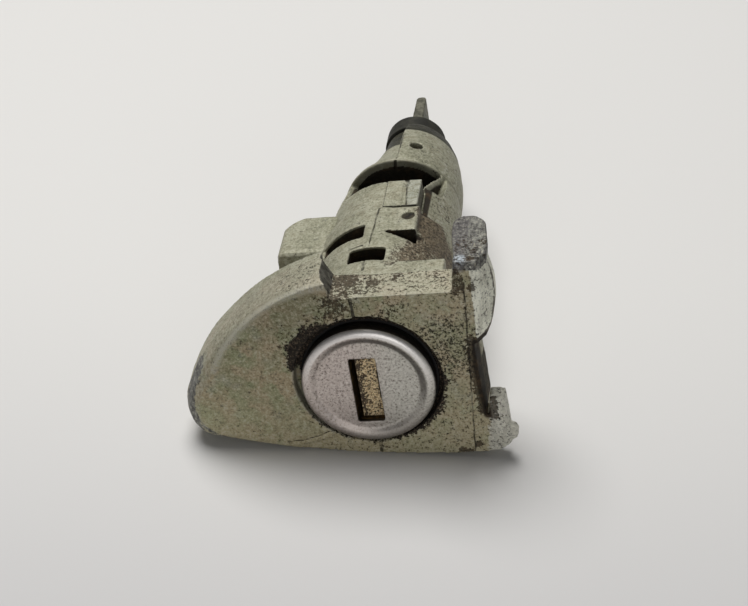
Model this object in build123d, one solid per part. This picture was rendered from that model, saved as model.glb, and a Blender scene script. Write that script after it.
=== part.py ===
from build123d import *
import math
import os

# Lock cylinder for a car door: a winged die-cast head, a barrel with windows, a key plug with
# wafers, a clutch, a return spring and a turning tail. Millimetres.
# Frame: the origin is on the cylinder's axis, in the plane of the head's front face.
# +Y runs from the key face to the tail, +X is to the right seen from the front, +Z is up.
# The keyway, the ledge, the windows and the ear share a frame of their own, turned about Y
# by KEY_ROLL, so that their top leans towards -X. Places in it are called keyed.

# Keyed frame
KEY_ROLL = 6.3

# Fits
RUN_FIT = 0.05
SLIDE_FIT = 0.10
LOOSE_FIT = 0.20
SEAT_FIT = 0.05
BREAK_EDGE = 0.3
JOIN = 1.0

# Head: the wing's outline is given in shares of its reach, as the rim and as the ridge in front
WING_REACH = 27.8
WING_RIM = [(-0.245, 0.640), (-0.511, 0.502), (-0.737, 0.293), (-0.881, 0.103), (-0.971, -0.094), (-1.000, -0.201),
            (-0.993, -0.302), (-0.946, -0.378), (-0.849, -0.417)]
WING_RIDGE = [(-0.201, 0.633), (-0.478, 0.496), (-0.698, 0.277), (-0.806, 0.072), (-0.881, -0.086), (-0.901, -0.180),
              (-0.896, -0.273), (-0.860, -0.327), (-0.784, -0.371)]
HEAD_LOW = (-3.0, -12.3)
WING_PROUD = 0.3
BEVEL_SHOULDER_Y = 0.8
BEVEL_SHOULDER_SHARE = 0.35
BEVEL_END_Y = 3.0
WING_BACK_Y = 8.0
HEAD_RIGHT_LOW = (17.6, -11.15)
HEAD_RIGHT_MID = (17.1, -4.4)
HEAD_RIGHT_HIGH = (15.35, 9.0)
HEAD_SEAM_X = -1.8
SEAM_FOOT = (-5.8, -9.7)
SEAM_TOE = (-10.3, -11.3)
LEDGE_Z = 15.4
LEDGE_DEPTH = 6.1
LEDGE_LEFT_X = -5.1
LEDGE_RIGHT_X = 14.6

# Upper lug and toe of the head
LUG_LEFT_X = 12.5
LUG_BACK_LEFT_X = 11.75
LUG_FOOT_Z = 8.0
LUG_TOP_Z = 22.0
LUG_FACE_TOP = 3.1
LUG_FACE_FOOT = 3.4
LUG_FACE_BULGE = 0.6
LUG_BODY_TOP = 4.0
LUG_BODY_FOOT = 4.5
LUG_BODY_BULGE = 1.3
LUG_BULGE_SHARE = 0.4
LUG_CORNER_CUT = 0.65
LUG_CORNER_DROP = 1.6
LUG_DEPTH = 12.3
LUG_ROUND_Y = 10.2
LUG_BEVEL_Y = 2.2
TOE_REACH = 3.3
TOE_TOP_Z = -1.5
TOE_HEIGHT = 9.3
TOE_HOOK = 1.1
TOE_HEEL = 1.65
TOE_TIP_SHARE = 0.85
TOE_DEPTH = 3.0
TOE_NUB_R = 1.2
TOE_NUB_DEPTH = 1.6

# Barrel
COLLAR_R = 11.5
COLLAR_SQUARE = 11.3
COLLAR_END_Y = 15.3
BARREL_R = 11.3
BARREL_STEP_Y = 31.0
SLEEVE_R = 10.6
SLEEVE_TAPER_Y = 40.0
SLEEVE_TAPER_R = 10.4
RING_START_Y = 47.0
RING_R = 9.4
RING_END_Y = 50.5
NOSE_PROFILE = [(9.15, 54.0), (8.6, 57.5), (7.95, 60.5), (7.05, 63.2), (6.15, 64.8)]
NOSE_END_Y = 65.8
NOSE_END_R = 4.95
RELIEF_START_Y = 48.3
RELIEF_START_ANGLE = 96.0
RELIEF_SPAN = 110.0
RELIEF_MID_Y = 55.5
RELIEF_MID_R = 6.6
RELIEF_END_R = 4.45

# Ear on the left of the barrel
EAR_LEFT_X = -16.5
EAR_FRONT_Y = 26.4
EAR_BACK_Y = 37.1
EAR_TOP_Z = 6.5
EAR_BOTTOM_Z = -5.5
EAR_DRAFT = 1.0
EAR_LEAN = 0.5
EAR_STRAIGHT = 4.6
EAR_CORNER = 3.9
EAR_ROUND = (0.36, 0.62)
EAR_CHAMFER = 0.5

# Windows and openings in the barrel
WINDOW_LEFT_X = -3.65
WINDOW_RIGHT_X = 1.95
WINDOW_FRONT_Y = 16.1
WINDOW_BACK_Y = 19.6
ARC_FRONT_Y = 22.9
ARC_BACK_Y = 26.4
ARC_START_ANGLE = 100.5
ARC_END_ANGLE = 144.0
PORT_FRONT_Y = 39.7
PORT_BACK_Y = 47.7
PORT_START_ANGLE = 34.0
PORT_END_ANGLE = 146.0
PORT_RIGHT_X = 7.9
PAD_LEFT_X = 0.0
PAD_RIGHT_X = 5.9
PAD_FRONT_Y = 24.2
PAD_TOP_Z = 11.15
THROAT_FRONT_Y = 22.3
THROAT_LEFT_X = 0.4
THROAT_CORNER = (2.8, 23.3)
RIB_FRONT_X = 5.0
RIB_BACK_X = 7.25
RIB_WIDTH = 0.4
RIB_DROP = 0.1

# Retaining block in the top of the barrel
BLOCK_FRONT_Y = 31.1
BLOCK_BACK_Y = 38.6
BLOCK_WIDTH = 5.4
BLOCK_PLATE_BOTTOM_Z = 8.3
BLOCK_LEG_FRONT_Y = 33.7
BLOCK_LEG_LENGTH = 2.1
BLOCK_LEG_BOTTOM_Z = 7.2
BLOCK_LEG_WIDTH = 3.6
BLOCK_SCORE = 0.25
BLOCK_LEG_INSET = 0.8

# Key face
CAP_R = 9.9
CAP_FRONT_Y = -0.6
CAP_RIDGE_R = 8.9
CAP_DISH_R = 7.6
CAP_DISH_DEPTH = 0.5
CAP_THICK = 0.6
CAP_SKIRT_Y = 1.8
SLOT_WIDTH = 4.0
SLOT_HEIGHT = 11.2
SLOT_X = -0.4
SLOT_Z = -0.9
POCKET_R = 10.2
POCKET_DEPTH = 3.0
SCOOP_R = 11.0
SCOOP_RISE = 1.0
SCOOP_DEPTH = 2.0
SEAL_THICK = 0.8

# Plug and keyway
BORE_R = 7.75
PLUG_END_Y = 37.0
KEYWAY_WIDTH = 3.2
KEYWAY_HEIGHT = 10.2
KEYWAY_END_Y = 31.0
SHUTTER_GAP = 0.7
SHUTTER_THICK = 0.6
SHUTTER_SIDE_GAP = 0.65
SHUTTER_SPRING_HALF = 2.4
SHUTTER_PIN_R = 0.45
SHUTTER_POCKET_END_Y = 7.2
SHUTTER_POCKET_SIDE = 0.9
SHUTTER_PIN_SEAT = 0.8
SHUTTER_EYE_WALL = 0.35
PIN_R = 0.95
STOP_PIN_X = 4.4
STOP_PIN_Y = 28.2
STOP_GROOVE_DEPTH = 0.8
STOP_GROOVE_HALF_ANGLE = 86.0
RETAIN_GROOVE_DEPTH = 0.8

# Wafers
WAFER_COUNT = 8
WAFER_FIRST_Y = 8.6
WAFER_PITCH = 2.4
WAFER_THICK = 1.0
WAFER_WIDTH = 2.6
WAFER_TOP_Z = 5.2
WAFER_BOTTOM_Z = -3.9
WAFER_TRACK_LUG = 0.8
WAFER_TRACK_HALF = 0.9
WAFER_SLOT_FLOOR_Z = -5.6
WAFER_SPRING_R = 0.42

# Clutch, tail and springs
DOG_LENGTH = 1.6
DOG_OUTER_R = 6.0
DOG_INNER_R = 3.4
DOG_ANGLE = 88.0
CLUTCH_R = 6.2
CLUTCH_LENGTH = 5.0
SHAFT_SQUARE = 4.0
SHAFT_FRONT_Y = 35.2
SPRING_HOUSE_R = 5.2
SPRING_HOUSE_Y = 48.0
TAIL_BORE_R = 3.25
SPRING_HOUSE_DEPTH = 3.4
HUB_R = 3.55
CLUTCH_SPRING_R = 4.2
CLUTCH_SPRING_WIRE = 0.7
CLUTCH_SPRING_TURNS = 2
RETURN_WIRE = 0.6
RETURN_TURNS = 2
WIRE_SIDES = 8
HIDDEN_WIRE_SIDES = 6
COIL_SAMPLES = 240
TAIL_PIN_X = 2.75
TAIL_PIN_Y = 53.1
TAIL_PIN_TOP_Z = 7.8
TAIL_GROOVE_R = 2.5
BOOT_R = 4.9
BOOT_END_Y = 69.7
BOOT_EDGE = 0.25
TAIL_HEIGHT = 4.6
TAIL_ROOT_THICK = 2.2
TAIL_TIP_THICK = 1.6
TAIL_END_Y = 80.6
TAIL_TIP_R = 0.7

# Values worked out from the ones above
BLOCK_LEG_BACK_Y = BLOCK_LEG_FRONT_Y + BLOCK_LEG_LENGTH
TAIL_BORE_Y = SPRING_HOUSE_Y + SPRING_HOUSE_DEPTH
PLUG_R = BORE_R - RUN_FIT
CAP_FACE_Y = CAP_FRONT_Y + CAP_DISH_DEPTH
PLUG_FRONT_Y = CAP_FACE_Y + CAP_THICK + SEAT_FIT
PLUG_HEAD_R = CAP_R - CAP_THICK - SEAT_FIT
PLUG_HEAD_END_Y = POCKET_DEPTH - SEAL_THICK - SLIDE_FIT
CLUTCH_FRONT_Y = PLUG_END_Y + DOG_LENGTH + LOOSE_FIT
CLUTCH_BACK_Y = CLUTCH_FRONT_Y + CLUTCH_LENGTH
SHAFT_CORNER_R = SHAFT_SQUARE / 2 * math.sqrt(2)
BLOCK_LEFT_X = PAD_LEFT_X + SEAT_FIT
BLOCK_LEG_X = BLOCK_LEFT_X + BLOCK_LEG_INSET
STOP_GROOVE_R = PLUG_R - STOP_GROOVE_DEPTH
TAIL_JOURNAL_R = TAIL_BORE_R - RUN_FIT
SHUTTER_Y = CAP_FACE_Y + CAP_THICK + SHUTTER_GAP
SHUTTER_PIN_X = SLOT_X + SLOT_WIDTH / 2 + SHUTTER_PIN_R
SHUTTER_PIN_Y = SHUTTER_Y + SHUTTER_PIN_R
SHUTTER_LEFT_X = SLOT_X - SLOT_WIDTH / 2 + SHUTTER_SIDE_GAP
SHUTTER_HALF = SLOT_HEIGHT / 2 - SLIDE_FIT
SHUTTER_EYE_R = SHUTTER_PIN_R + SHUTTER_EYE_WALL
FAR = 60.0


def keyed(shape):
    """Turn a shape from the keyed frame into the part's frame."""
    return Rot(0, -KEY_ROLL, 0) * shape


def keyed_height(x, keyed_z):
    """Height in the part's frame, at x, of a plane at keyed_z in the keyed frame."""
    roll = math.radians(KEY_ROLL)
    return (keyed_z + x * math.sin(roll)) / math.cos(roll)


def front_plane(y):
    return Plane(origin=(0, y, 0), x_dir=(1, 0, 0), z_dir=(0, -1, 0))


def prism(outline, y_from, y_to):
    """Extrude a flat outline, given in x and z, from y_from to y_to."""
    return extrude(front_plane(y_from) * outline, amount=y_to - y_from, dir=(0, 1, 0))


def poly(points):
    return make_face(Polyline(*points, close=True))


def block(x_from, x_to, y_from, y_to, z_from, z_to):
    size = (x_to - x_from, y_to - y_from, z_to - z_from)
    middle = ((x_from + x_to) / 2, (y_from + y_to) / 2, (z_from + z_to) / 2)
    return Pos(*middle) * Box(*size)


def disc(radius, y_from, y_to, x=0.0, z=0.0):
    return prism(Pos(x, z) * Circle(radius), y_from, y_to)


def ring(outer, inner, y_from, y_to):
    return prism(Circle(outer) - Circle(inner), y_from, y_to)


def upright(radius, x, y, z_from, z_to):
    """A round bar along Z."""
    return Pos(x, y, (z_from + z_to) / 2) * Cylinder(radius, z_to - z_from)


def turned(points):
    """Revolve a closed profile, given as radius and y, about the cylinder's axis."""
    return revolve(make_face(Polyline(*points, close=True)), axis=Axis.Y)


def sector(profile, start, span):
    """Sweep a profile in radius and y about the axis from angle start through span."""
    return Rot(0, -(start + span), 0) * revolve(profile, axis=Axis.Y, revolution_arc=span)


def head_outline(share):
    """Outline of the winged head: share 0 is the full outline, share 1 the front ridge."""
    points = []
    for rim, ridge in zip(WING_RIM, WING_RIDGE):
        x = rim[0] + (ridge[0] - rim[0]) * share
        z = rim[1] + (ridge[1] - rim[1]) * share
        points.append((x * WING_REACH, z * WING_REACH))
    points += [HEAD_LOW, HEAD_RIGHT_LOW]
    edges = [ThreePointArc(*points[i:i + 3]) for i in range(0, len(points) - 1, 2)]
    ledge_right = (LEDGE_RIGHT_X, keyed_height(LEDGE_RIGHT_X, LEDGE_Z))
    ledge_left = (LEDGE_LEFT_X, keyed_height(LEDGE_LEFT_X, LEDGE_Z))
    corners = [HEAD_RIGHT_LOW, HEAD_RIGHT_MID, HEAD_RIGHT_HIGH, ledge_right, ledge_left, points[0]]
    edges += [Line(a, b) for a, b in zip(corners, corners[1:])]
    return make_face(Curve() + edges)


def make_wing_and_plate():
    face = front_plane(-WING_PROUD) * head_outline(1.0)
    shoulder = front_plane(BEVEL_SHOULDER_Y) * head_outline(BEVEL_SHOULDER_SHARE)
    rim = front_plane(BEVEL_END_Y) * head_outline(0.0)
    head = loft([face, shoulder], ruled=True) + loft([shoulder, rim], ruled=True)
    head += prism(head_outline(0.0), BEVEL_END_Y, WING_BACK_Y)
    plate = poly([(HEAD_SEAM_X, FAR), (FAR, FAR), (FAR, -FAR), (SEAM_TOE[0], -FAR), SEAM_TOE, SEAM_FOOT,
                  (HEAD_SEAM_X, 0)])
    head -= prism(plate, -FAR, 0)
    behind_ledge = block(LEDGE_LEFT_X, FAR, LEDGE_DEPTH, FAR, COLLAR_SQUARE, FAR)
    return head - keyed(behind_ledge)


def lug_outline(top, foot, bulge):
    """Upright outline of the lug: its width at top and foot, a cut corner and a bulged right side."""
    shoulder = (LUG_LEFT_X + top + LUG_CORNER_CUT, LUG_TOP_Z - LUG_CORNER_DROP)
    heel = (LUG_LEFT_X + foot, LUG_FOOT_Z)
    middle = (heel[0] + bulge, LUG_FOOT_Z + (LUG_TOP_Z - LUG_FOOT_Z) * LUG_BULGE_SHARE)
    sides = Polyline(heel, (LUG_LEFT_X, LUG_FOOT_Z), (LUG_LEFT_X, LUG_TOP_Z), (LUG_LEFT_X + top, LUG_TOP_Z), shoulder)
    return make_face(Curve() + [ThreePointArc(shoulder, middle, heel), sides])


def make_upper_lug():
    """Rounded lug at the top right: a bevelled front, and behind it a block with a round back."""
    face = lug_outline(LUG_FACE_TOP, LUG_FACE_FOOT, LUG_FACE_BULGE)
    outline = lug_outline(LUG_BODY_TOP, LUG_BODY_FOOT, LUG_BODY_BULGE)
    bevel = loft([front_plane(0) * face, front_plane(LUG_BEVEL_Y) * outline], ruled=True)
    middle = prism(outline, LUG_BEVEL_Y, LUG_ROUND_Y / 2)
    right = LUG_LEFT_X + LUG_BODY_TOP + LUG_CORNER_CUT
    turn = (right - LUG_CORNER_CUT, LUG_ROUND_Y)
    tip = ((LUG_BACK_LEFT_X + turn[0]) / 2, LUG_DEPTH)
    rear = ThreePointArc((LUG_BACK_LEFT_X, LUG_ROUND_Y), tip, turn)
    sides = Polyline(turn, (right, LUG_ROUND_Y / 2), (right, LUG_BEVEL_Y), (LUG_LEFT_X, LUG_BEVEL_Y),
                     (LUG_BACK_LEFT_X, WING_BACK_Y), (LUG_BACK_LEFT_X, LUG_ROUND_Y))
    plan = make_face(Curve() + [rear, sides])
    body = Pos(0, 0, LUG_FOOT_Z) * extrude(plan, amount=LUG_TOP_Z - LUG_FOOT_Z, dir=(0, 0, 1))
    return bevel + middle + body


def make_toe():
    """Hooked toe at the bottom right corner of the head."""
    tip_x = HEAD_RIGHT_LOW[0] + TOE_REACH
    tip_z = TOE_TOP_Z - TOE_HEIGHT * TOE_TIP_SHARE
    lip = (tip_x - TOE_HOOK, TOE_TOP_Z)
    lip_left = (HEAD_RIGHT_LOW[0], TOE_TOP_Z)
    throat = (HEAD_RIGHT_LOW[0], TOE_TOP_Z - TOE_HEIGHT / 3)
    heel = (tip_x - TOE_HEEL, TOE_TOP_Z - TOE_HEIGHT)
    foot = (HEAD_RIGHT_LOW[0] - TOE_NUB_R, HEAD_RIGHT_LOW[1])
    root = (HEAD_RIGHT_LOW[0] - TOE_NUB_R, TOE_TOP_Z - TOE_HEIGHT / 3)
    hook = poly([lip_left, lip, (tip_x, tip_z), heel, foot, root, throat])
    nub = prism(Pos(tip_x - TOE_HOOK / 4, TOE_TOP_Z - 2 * TOE_HEIGHT / 3) * Circle(TOE_NUB_R), 0, TOE_NUB_DEPTH)
    return prism(hook, 0, TOE_DEPTH) + nub


def make_barrel():
    square = poly([(0, 0), (COLLAR_SQUARE, 0), (COLLAR_SQUARE, COLLAR_SQUARE), (0, COLLAR_SQUARE)])
    collar = disc(COLLAR_R, LEDGE_DEPTH - JOIN, COLLAR_END_Y)
    collar += keyed(prism(square, LEDGE_DEPTH - JOIN, COLLAR_END_Y))
    tube = turned([(0, LEDGE_DEPTH), (BARREL_R, LEDGE_DEPTH), (BARREL_R, BARREL_STEP_Y), (SLEEVE_R, BARREL_STEP_Y),
                   (SLEEVE_TAPER_R, SLEEVE_TAPER_Y), (RING_R, RING_START_Y), (RING_R, RING_END_Y), (0, RING_END_Y)])
    return collar + tube


def make_nose():
    """Rear end of the barrel, domed down to the collar of the tail."""
    return turned([(0, RING_END_Y), (RING_R, RING_END_Y)] + NOSE_PROFILE + [(NOSE_END_R, NOSE_END_Y), (0, NOSE_END_Y)])


def nose_relief():
    curve = ThreePointArc((RING_R, RELIEF_START_Y), (RELIEF_MID_R, RELIEF_MID_Y), (RELIEF_END_R, NOSE_END_Y))
    rim = Polyline((RELIEF_END_R, NOSE_END_Y), (RELIEF_END_R, NOSE_END_Y + JOIN), (FAR, NOSE_END_Y + JOIN),
                   (FAR, RELIEF_START_Y), (RING_R, RELIEF_START_Y))
    return sector(make_face(Curve() + [curve, rim]), RELIEF_START_ANGLE, RELIEF_SPAN)


def make_ear():
    """Square ear with a rounded back corner and a drafted left side."""
    left = EAR_LEFT_X - EAR_DRAFT
    root = -BORE_R - JOIN
    corner = (left + EAR_LEAN, EAR_FRONT_Y + EAR_STRAIGHT)
    end = (left + EAR_CORNER, EAR_BACK_Y)
    middle = (left + EAR_CORNER * EAR_ROUND[0], corner[1] + (EAR_BACK_Y - corner[1]) * EAR_ROUND[1])
    plan = Curve() + [ThreePointArc(corner, middle, end),
                      Polyline(end, (root, EAR_BACK_Y), (root, EAR_FRONT_Y), (left, EAR_FRONT_Y), corner)]
    height = EAR_TOP_Z - EAR_BOTTOM_Z
    ear = Pos(0, 0, EAR_BOTTOM_Z) * extrude(make_face(plan), amount=height, dir=(0, 0, 1))
    slant = poly([(left, EAR_BOTTOM_Z), (left + EAR_DRAFT, EAR_TOP_Z), (-FAR, EAR_TOP_Z), (-FAR, EAR_BOTTOM_Z)])
    ear -= prism(slant, 0, FAR)
    rim = ear.faces().sort_by(Axis.Z)[-1].edges().sort_by(Axis.X)[:-1]
    return keyed(chamfer(rim, EAR_CHAMFER))


def make_pad():
    pad = block(PAD_LEFT_X, PAD_RIGHT_X, PAD_FRONT_Y, BLOCK_FRONT_Y, BORE_R, PAD_TOP_Z)
    return keyed(pad)


def slot_round(y_from, y_to, start, end):
    """Slot through the wall of the barrel, from angle start to angle end."""
    profile = Pos((BORE_R + FAR) / 2, (y_from + y_to) / 2) * Rectangle(FAR - BORE_R + 2 * JOIN, y_to - y_from)
    return sector(profile, start, end - start)


def openings():
    """Everything cut out of the casting, outside the bore."""
    window = block(WINDOW_LEFT_X, WINDOW_RIGHT_X, WINDOW_FRONT_Y, WINDOW_BACK_Y, 0, FAR)
    arc = slot_round(ARC_FRONT_Y, ARC_BACK_Y, ARC_START_ANGLE, ARC_END_ANGLE)
    port = slot_round(PORT_FRONT_Y, PORT_BACK_Y, PORT_START_ANGLE, PORT_END_ANGLE)
    port -= block(PORT_RIGHT_X, 2 * FAR, PORT_FRONT_Y - JOIN, PORT_BACK_Y + JOIN, -FAR, 2 * FAR)
    wedge = Polyline((THROAT_LEFT_X, PAD_FRONT_Y), (PAD_RIGHT_X, PAD_FRONT_Y), (PAD_RIGHT_X, THROAT_FRONT_Y),
                     THROAT_CORNER, close=True)
    throat = extrude(make_face(wedge), amount=FAR, dir=(0, 0, 1))
    return keyed(window + arc + port + throat + block_pocket() + stop_pin_hole() + tail_pin_hole())


def make_port_rib():
    """Slanted rib that bridges the right end of the rear opening."""
    front, back = PORT_FRONT_Y - JOIN, PORT_BACK_Y + JOIN
    plan = make_face(Polyline((RIB_FRONT_X, front), (RIB_FRONT_X + RIB_WIDTH, front),
                              (RIB_BACK_X + RIB_WIDTH, back), (RIB_BACK_X, back), close=True))
    front_r, back_r = SLEEVE_TAPER_R - RIB_DROP, RING_R - RIB_DROP
    top = turned([(0, front), (front_r, front), (front_r, SLEEVE_TAPER_Y), (back_r, RING_START_Y), (back_r, back),
                  (0, back)])
    return keyed(extrude(plan, amount=FAR, dir=(0, 0, 1))) & top


def block_pocket():
    front = BLOCK_FRONT_Y - SEAT_FIT
    plate = block(PAD_LEFT_X, PAD_RIGHT_X, front, PORT_FRONT_Y + JOIN, BLOCK_PLATE_BOTTOM_Z - SEAT_FIT, FAR)
    leg = block(BLOCK_LEG_X - SEAT_FIT, BLOCK_LEG_X + BLOCK_LEG_WIDTH + SEAT_FIT, BLOCK_LEG_FRONT_Y - SEAT_FIT,
                BLOCK_LEG_BACK_Y + SEAT_FIT, 0, FAR)
    return plate + leg


def stop_pin_hole():
    return upright(PIN_R + SEAT_FIT, STOP_PIN_X, STOP_PIN_Y, 0, FAR)


def tail_pin_hole():
    return upright(PIN_R + SEAT_FIT, TAIL_PIN_X, TAIL_PIN_Y, 0, FAR)


def bores():
    bore = disc(POCKET_R, -FAR, POCKET_DEPTH)
    bore += disc(SCOOP_R, -FAR, SCOOP_DEPTH, z=SCOOP_RISE)
    bore += disc(BORE_R, 0, SPRING_HOUSE_Y)
    bore += disc(SPRING_HOUSE_R, SPRING_HOUSE_Y - JOIN, TAIL_BORE_Y)
    bore += disc(TAIL_BORE_R, TAIL_BORE_Y - JOIN, FAR + NOSE_END_Y)
    return bore


def make_housing():
    head = make_wing_and_plate() + make_upper_lug() + make_toe()
    casting = head + make_barrel() + make_nose() + make_ear() + make_pad()
    casting = casting - nose_relief() - openings() + make_port_rib()
    return casting - bores()


def make_retaining_block():
    """Block let into the barrel's top, whose leg stands in the groove of the plug."""
    plate = block(BLOCK_LEFT_X, BLOCK_LEFT_X + BLOCK_WIDTH, BLOCK_FRONT_Y, BLOCK_BACK_Y, BLOCK_PLATE_BOTTOM_Z,
                  PAD_TOP_Z)
    leg = block(BLOCK_LEG_X, BLOCK_LEG_X + BLOCK_LEG_WIDTH, BLOCK_LEG_FRONT_Y, BLOCK_LEG_BACK_Y, BLOCK_LEG_BOTTOM_Z,
                BLOCK_PLATE_BOTTOM_Z)
    middle = BLOCK_LEFT_X + BLOCK_WIDTH / 2
    score = block(middle, middle + BLOCK_SCORE, BLOCK_FRONT_Y, BLOCK_BACK_Y, PAD_TOP_Z - BLOCK_SCORE / 2, FAR)
    return keyed(plate + leg - score)


def pin_foot(x, floor_r):
    """Lowest keyed height of a pin at x that clears a groove floor by the loose fit."""
    near = max(x - PIN_R, 0.0)
    return math.sqrt((floor_r + LOOSE_FIT) ** 2 - near ** 2)


def make_stop_pin():
    return keyed(upright(PIN_R, STOP_PIN_X, STOP_PIN_Y, pin_foot(STOP_PIN_X, STOP_GROOVE_R), PAD_TOP_Z - BREAK_EDGE))


def make_tail_pin():
    return keyed(upright(PIN_R, TAIL_PIN_X, TAIL_PIN_Y, pin_foot(TAIL_PIN_X, TAIL_GROOVE_R), TAIL_PIN_TOP_Z))


def slot_prism(width, height, y_from, y_to):
    return keyed(prism(Pos(SLOT_X, SLOT_Z) * Rectangle(width, height), y_from, y_to))


def make_face_cap():
    """Pressed cap with a raised rim, a dished face and the key slot."""
    inner_r, back_y = CAP_R - CAP_THICK, CAP_FACE_Y + CAP_THICK
    cap = turned([(0, CAP_FACE_Y), (CAP_DISH_R, CAP_FACE_Y), (CAP_RIDGE_R, CAP_FRONT_Y), (CAP_R, 0), (CAP_R, CAP_SKIRT_Y),
                  (inner_r, CAP_SKIRT_Y), (inner_r, back_y), (0, back_y)])
    return cap - slot_prism(SLOT_WIDTH, SLOT_HEIGHT, -FAR, FAR)


def make_face_seal():
    return ring(POCKET_R - SEAT_FIT, PLUG_R + LOOSE_FIT, POCKET_DEPTH - SEAL_THICK, POCKET_DEPTH)


def wafer_places():
    """For each wafer: its y, and +1 when it lies right of the keyway or -1 when left."""
    return [(WAFER_FIRST_Y + i * WAFER_PITCH, 1 if i % 2 == 0 else -1) for i in range(WAFER_COUNT)]


def wafer_x(side):
    """Middle of a wafer on the given side of the keyway."""
    return SLOT_X + side * (KEYWAY_WIDTH / 2 + SLIDE_FIT + WAFER_WIDTH / 2)


def make_plug():
    plug = turned([(0, PLUG_FRONT_Y), (PLUG_HEAD_R, PLUG_FRONT_Y), (PLUG_HEAD_R, PLUG_HEAD_END_Y),
                   (PLUG_R, PLUG_HEAD_END_Y), (PLUG_R, PLUG_END_Y), (0, PLUG_END_Y)])
    plug += dogs(PLUG_END_Y, PLUG_END_Y + DOG_LENGTH, 0)
    plug -= slot_prism(KEYWAY_WIDTH, KEYWAY_HEIGHT, 0, KEYWAY_END_Y)
    plug -= shutter_pocket()
    for y, side in wafer_places():
        plug -= wafer_slot(y, side)
    groove = ring(PLUG_R + JOIN, PLUG_R - RETAIN_GROOVE_DEPTH, BLOCK_LEG_FRONT_Y - LOOSE_FIT,
                  BLOCK_LEG_BACK_Y + LOOSE_FIT)
    pin_angle = math.degrees(math.acos(STOP_PIN_X / PLUG_R))
    stop = sector(Pos((STOP_GROOVE_R + BORE_R + JOIN) / 2, STOP_PIN_Y)
                  * Rectangle(BORE_R + JOIN - STOP_GROOVE_R, 2 * (PIN_R + LOOSE_FIT)),
                  pin_angle - STOP_GROOVE_HALF_ANGLE, 2 * STOP_GROOVE_HALF_ANGLE)
    socket = disc(SHAFT_CORNER_R + LOOSE_FIT, SHAFT_FRONT_Y - LOOSE_FIT, FAR)
    return plug - groove - keyed(stop) - socket


def shutter_pocket():
    half = SHUTTER_HALF + SLIDE_FIT
    reach = half + SHUTTER_PIN_SEAT
    pocket = block(SLOT_X - SLOT_WIDTH / 2, SHUTTER_PIN_X + SHUTTER_POCKET_SIDE, 0, SHUTTER_POCKET_END_Y, SLOT_Z - half,
                   SLOT_Z + half)
    pin = upright(SHUTTER_PIN_R + RUN_FIT, SHUTTER_PIN_X, SHUTTER_PIN_Y, SLOT_Z - reach, SLOT_Z + reach)
    return keyed(pocket + pin)


def wafer_slot(y, side):
    half = WAFER_THICK / 2 + SLIDE_FIT / 2
    x = wafer_x(side)
    reach = WAFER_WIDTH / 2 + SLIDE_FIT
    return keyed(block(x - reach, x + reach, y - half, y + half, WAFER_SLOT_FLOOR_Z, FAR))


def make_wafer(y, side):
    """Side plate with a lug that rides in the track milled in the key's flank."""
    half = WAFER_THICK / 2
    x = wafer_x(side)
    plate = block(x - WAFER_WIDTH / 2, x + WAFER_WIDTH / 2, y - half, y + half, WAFER_BOTTOM_Z, WAFER_TOP_Z)
    inner = x - side * WAFER_WIDTH / 2
    tip = inner - side * WAFER_TRACK_LUG
    lug = block(min(inner, tip), max(inner, tip), y - half, y + half, SLOT_Z - WAFER_TRACK_HALF,
                SLOT_Z + WAFER_TRACK_HALF)
    return keyed(plate + lug)


def make_wafer_spring(y, side):
    """Stand-in for the small coil under a wafer, which nothing opens to view."""
    outline = RegularPolygon(WAFER_SPRING_R, WIRE_SIDES)
    length = WAFER_BOTTOM_Z - RUN_FIT - WAFER_SLOT_FLOOR_Z
    return keyed(Pos(wafer_x(side), y, WAFER_SLOT_FLOOR_Z) * extrude(outline, amount=length))


def make_shutter():
    """Flap behind the slot, with an eye at its right edge, open in the middle for its spring."""
    z_from = SLOT_Z - SHUTTER_HALF
    z_to = SLOT_Z + SHUTTER_HALF
    flap = block(SHUTTER_LEFT_X, SHUTTER_PIN_X, SHUTTER_Y, SHUTTER_Y + SHUTTER_THICK, z_from, z_to)
    eye = upright(SHUTTER_EYE_R, SHUTTER_PIN_X, SHUTTER_PIN_Y, z_from, z_to)
    hole = upright(SHUTTER_PIN_R + RUN_FIT, SHUTTER_PIN_X, SHUTTER_PIN_Y, z_from - JOIN, z_to + JOIN)
    gap = upright(SHUTTER_EYE_R + SLIDE_FIT, SHUTTER_PIN_X, SHUTTER_PIN_Y, SLOT_Z - SHUTTER_SPRING_HALF - SLIDE_FIT,
                  SLOT_Z + SHUTTER_SPRING_HALF + SLIDE_FIT)
    return keyed(flap + eye - hole - gap)


def make_shutter_spring():
    z_from = SLOT_Z - SHUTTER_SPRING_HALF
    z_to = SLOT_Z + SHUTTER_SPRING_HALF
    tube = upright(SHUTTER_EYE_R, SHUTTER_PIN_X, SHUTTER_PIN_Y, z_from, z_to)
    return keyed(tube - upright(SHUTTER_PIN_R + RUN_FIT, SHUTTER_PIN_X, SHUTTER_PIN_Y, z_from - JOIN, z_to + JOIN))


def make_shutter_pin():
    half = SHUTTER_HALF + SHUTTER_PIN_SEAT
    return keyed(upright(SHUTTER_PIN_R, SHUTTER_PIN_X, SHUTTER_PIN_Y, SLOT_Z - half, SLOT_Z + half))


def dogs(y_from, y_to, turn):
    """Two opposite driving dogs."""
    middle = Pos((DOG_OUTER_R + DOG_INNER_R) / 2, (y_from + y_to) / 2)
    profile = middle * Rectangle(DOG_OUTER_R - DOG_INNER_R, y_to - y_from)
    first = sector(profile, turn - DOG_ANGLE / 2, DOG_ANGLE)
    return first + Rot(0, 180, 0) * first


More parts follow.
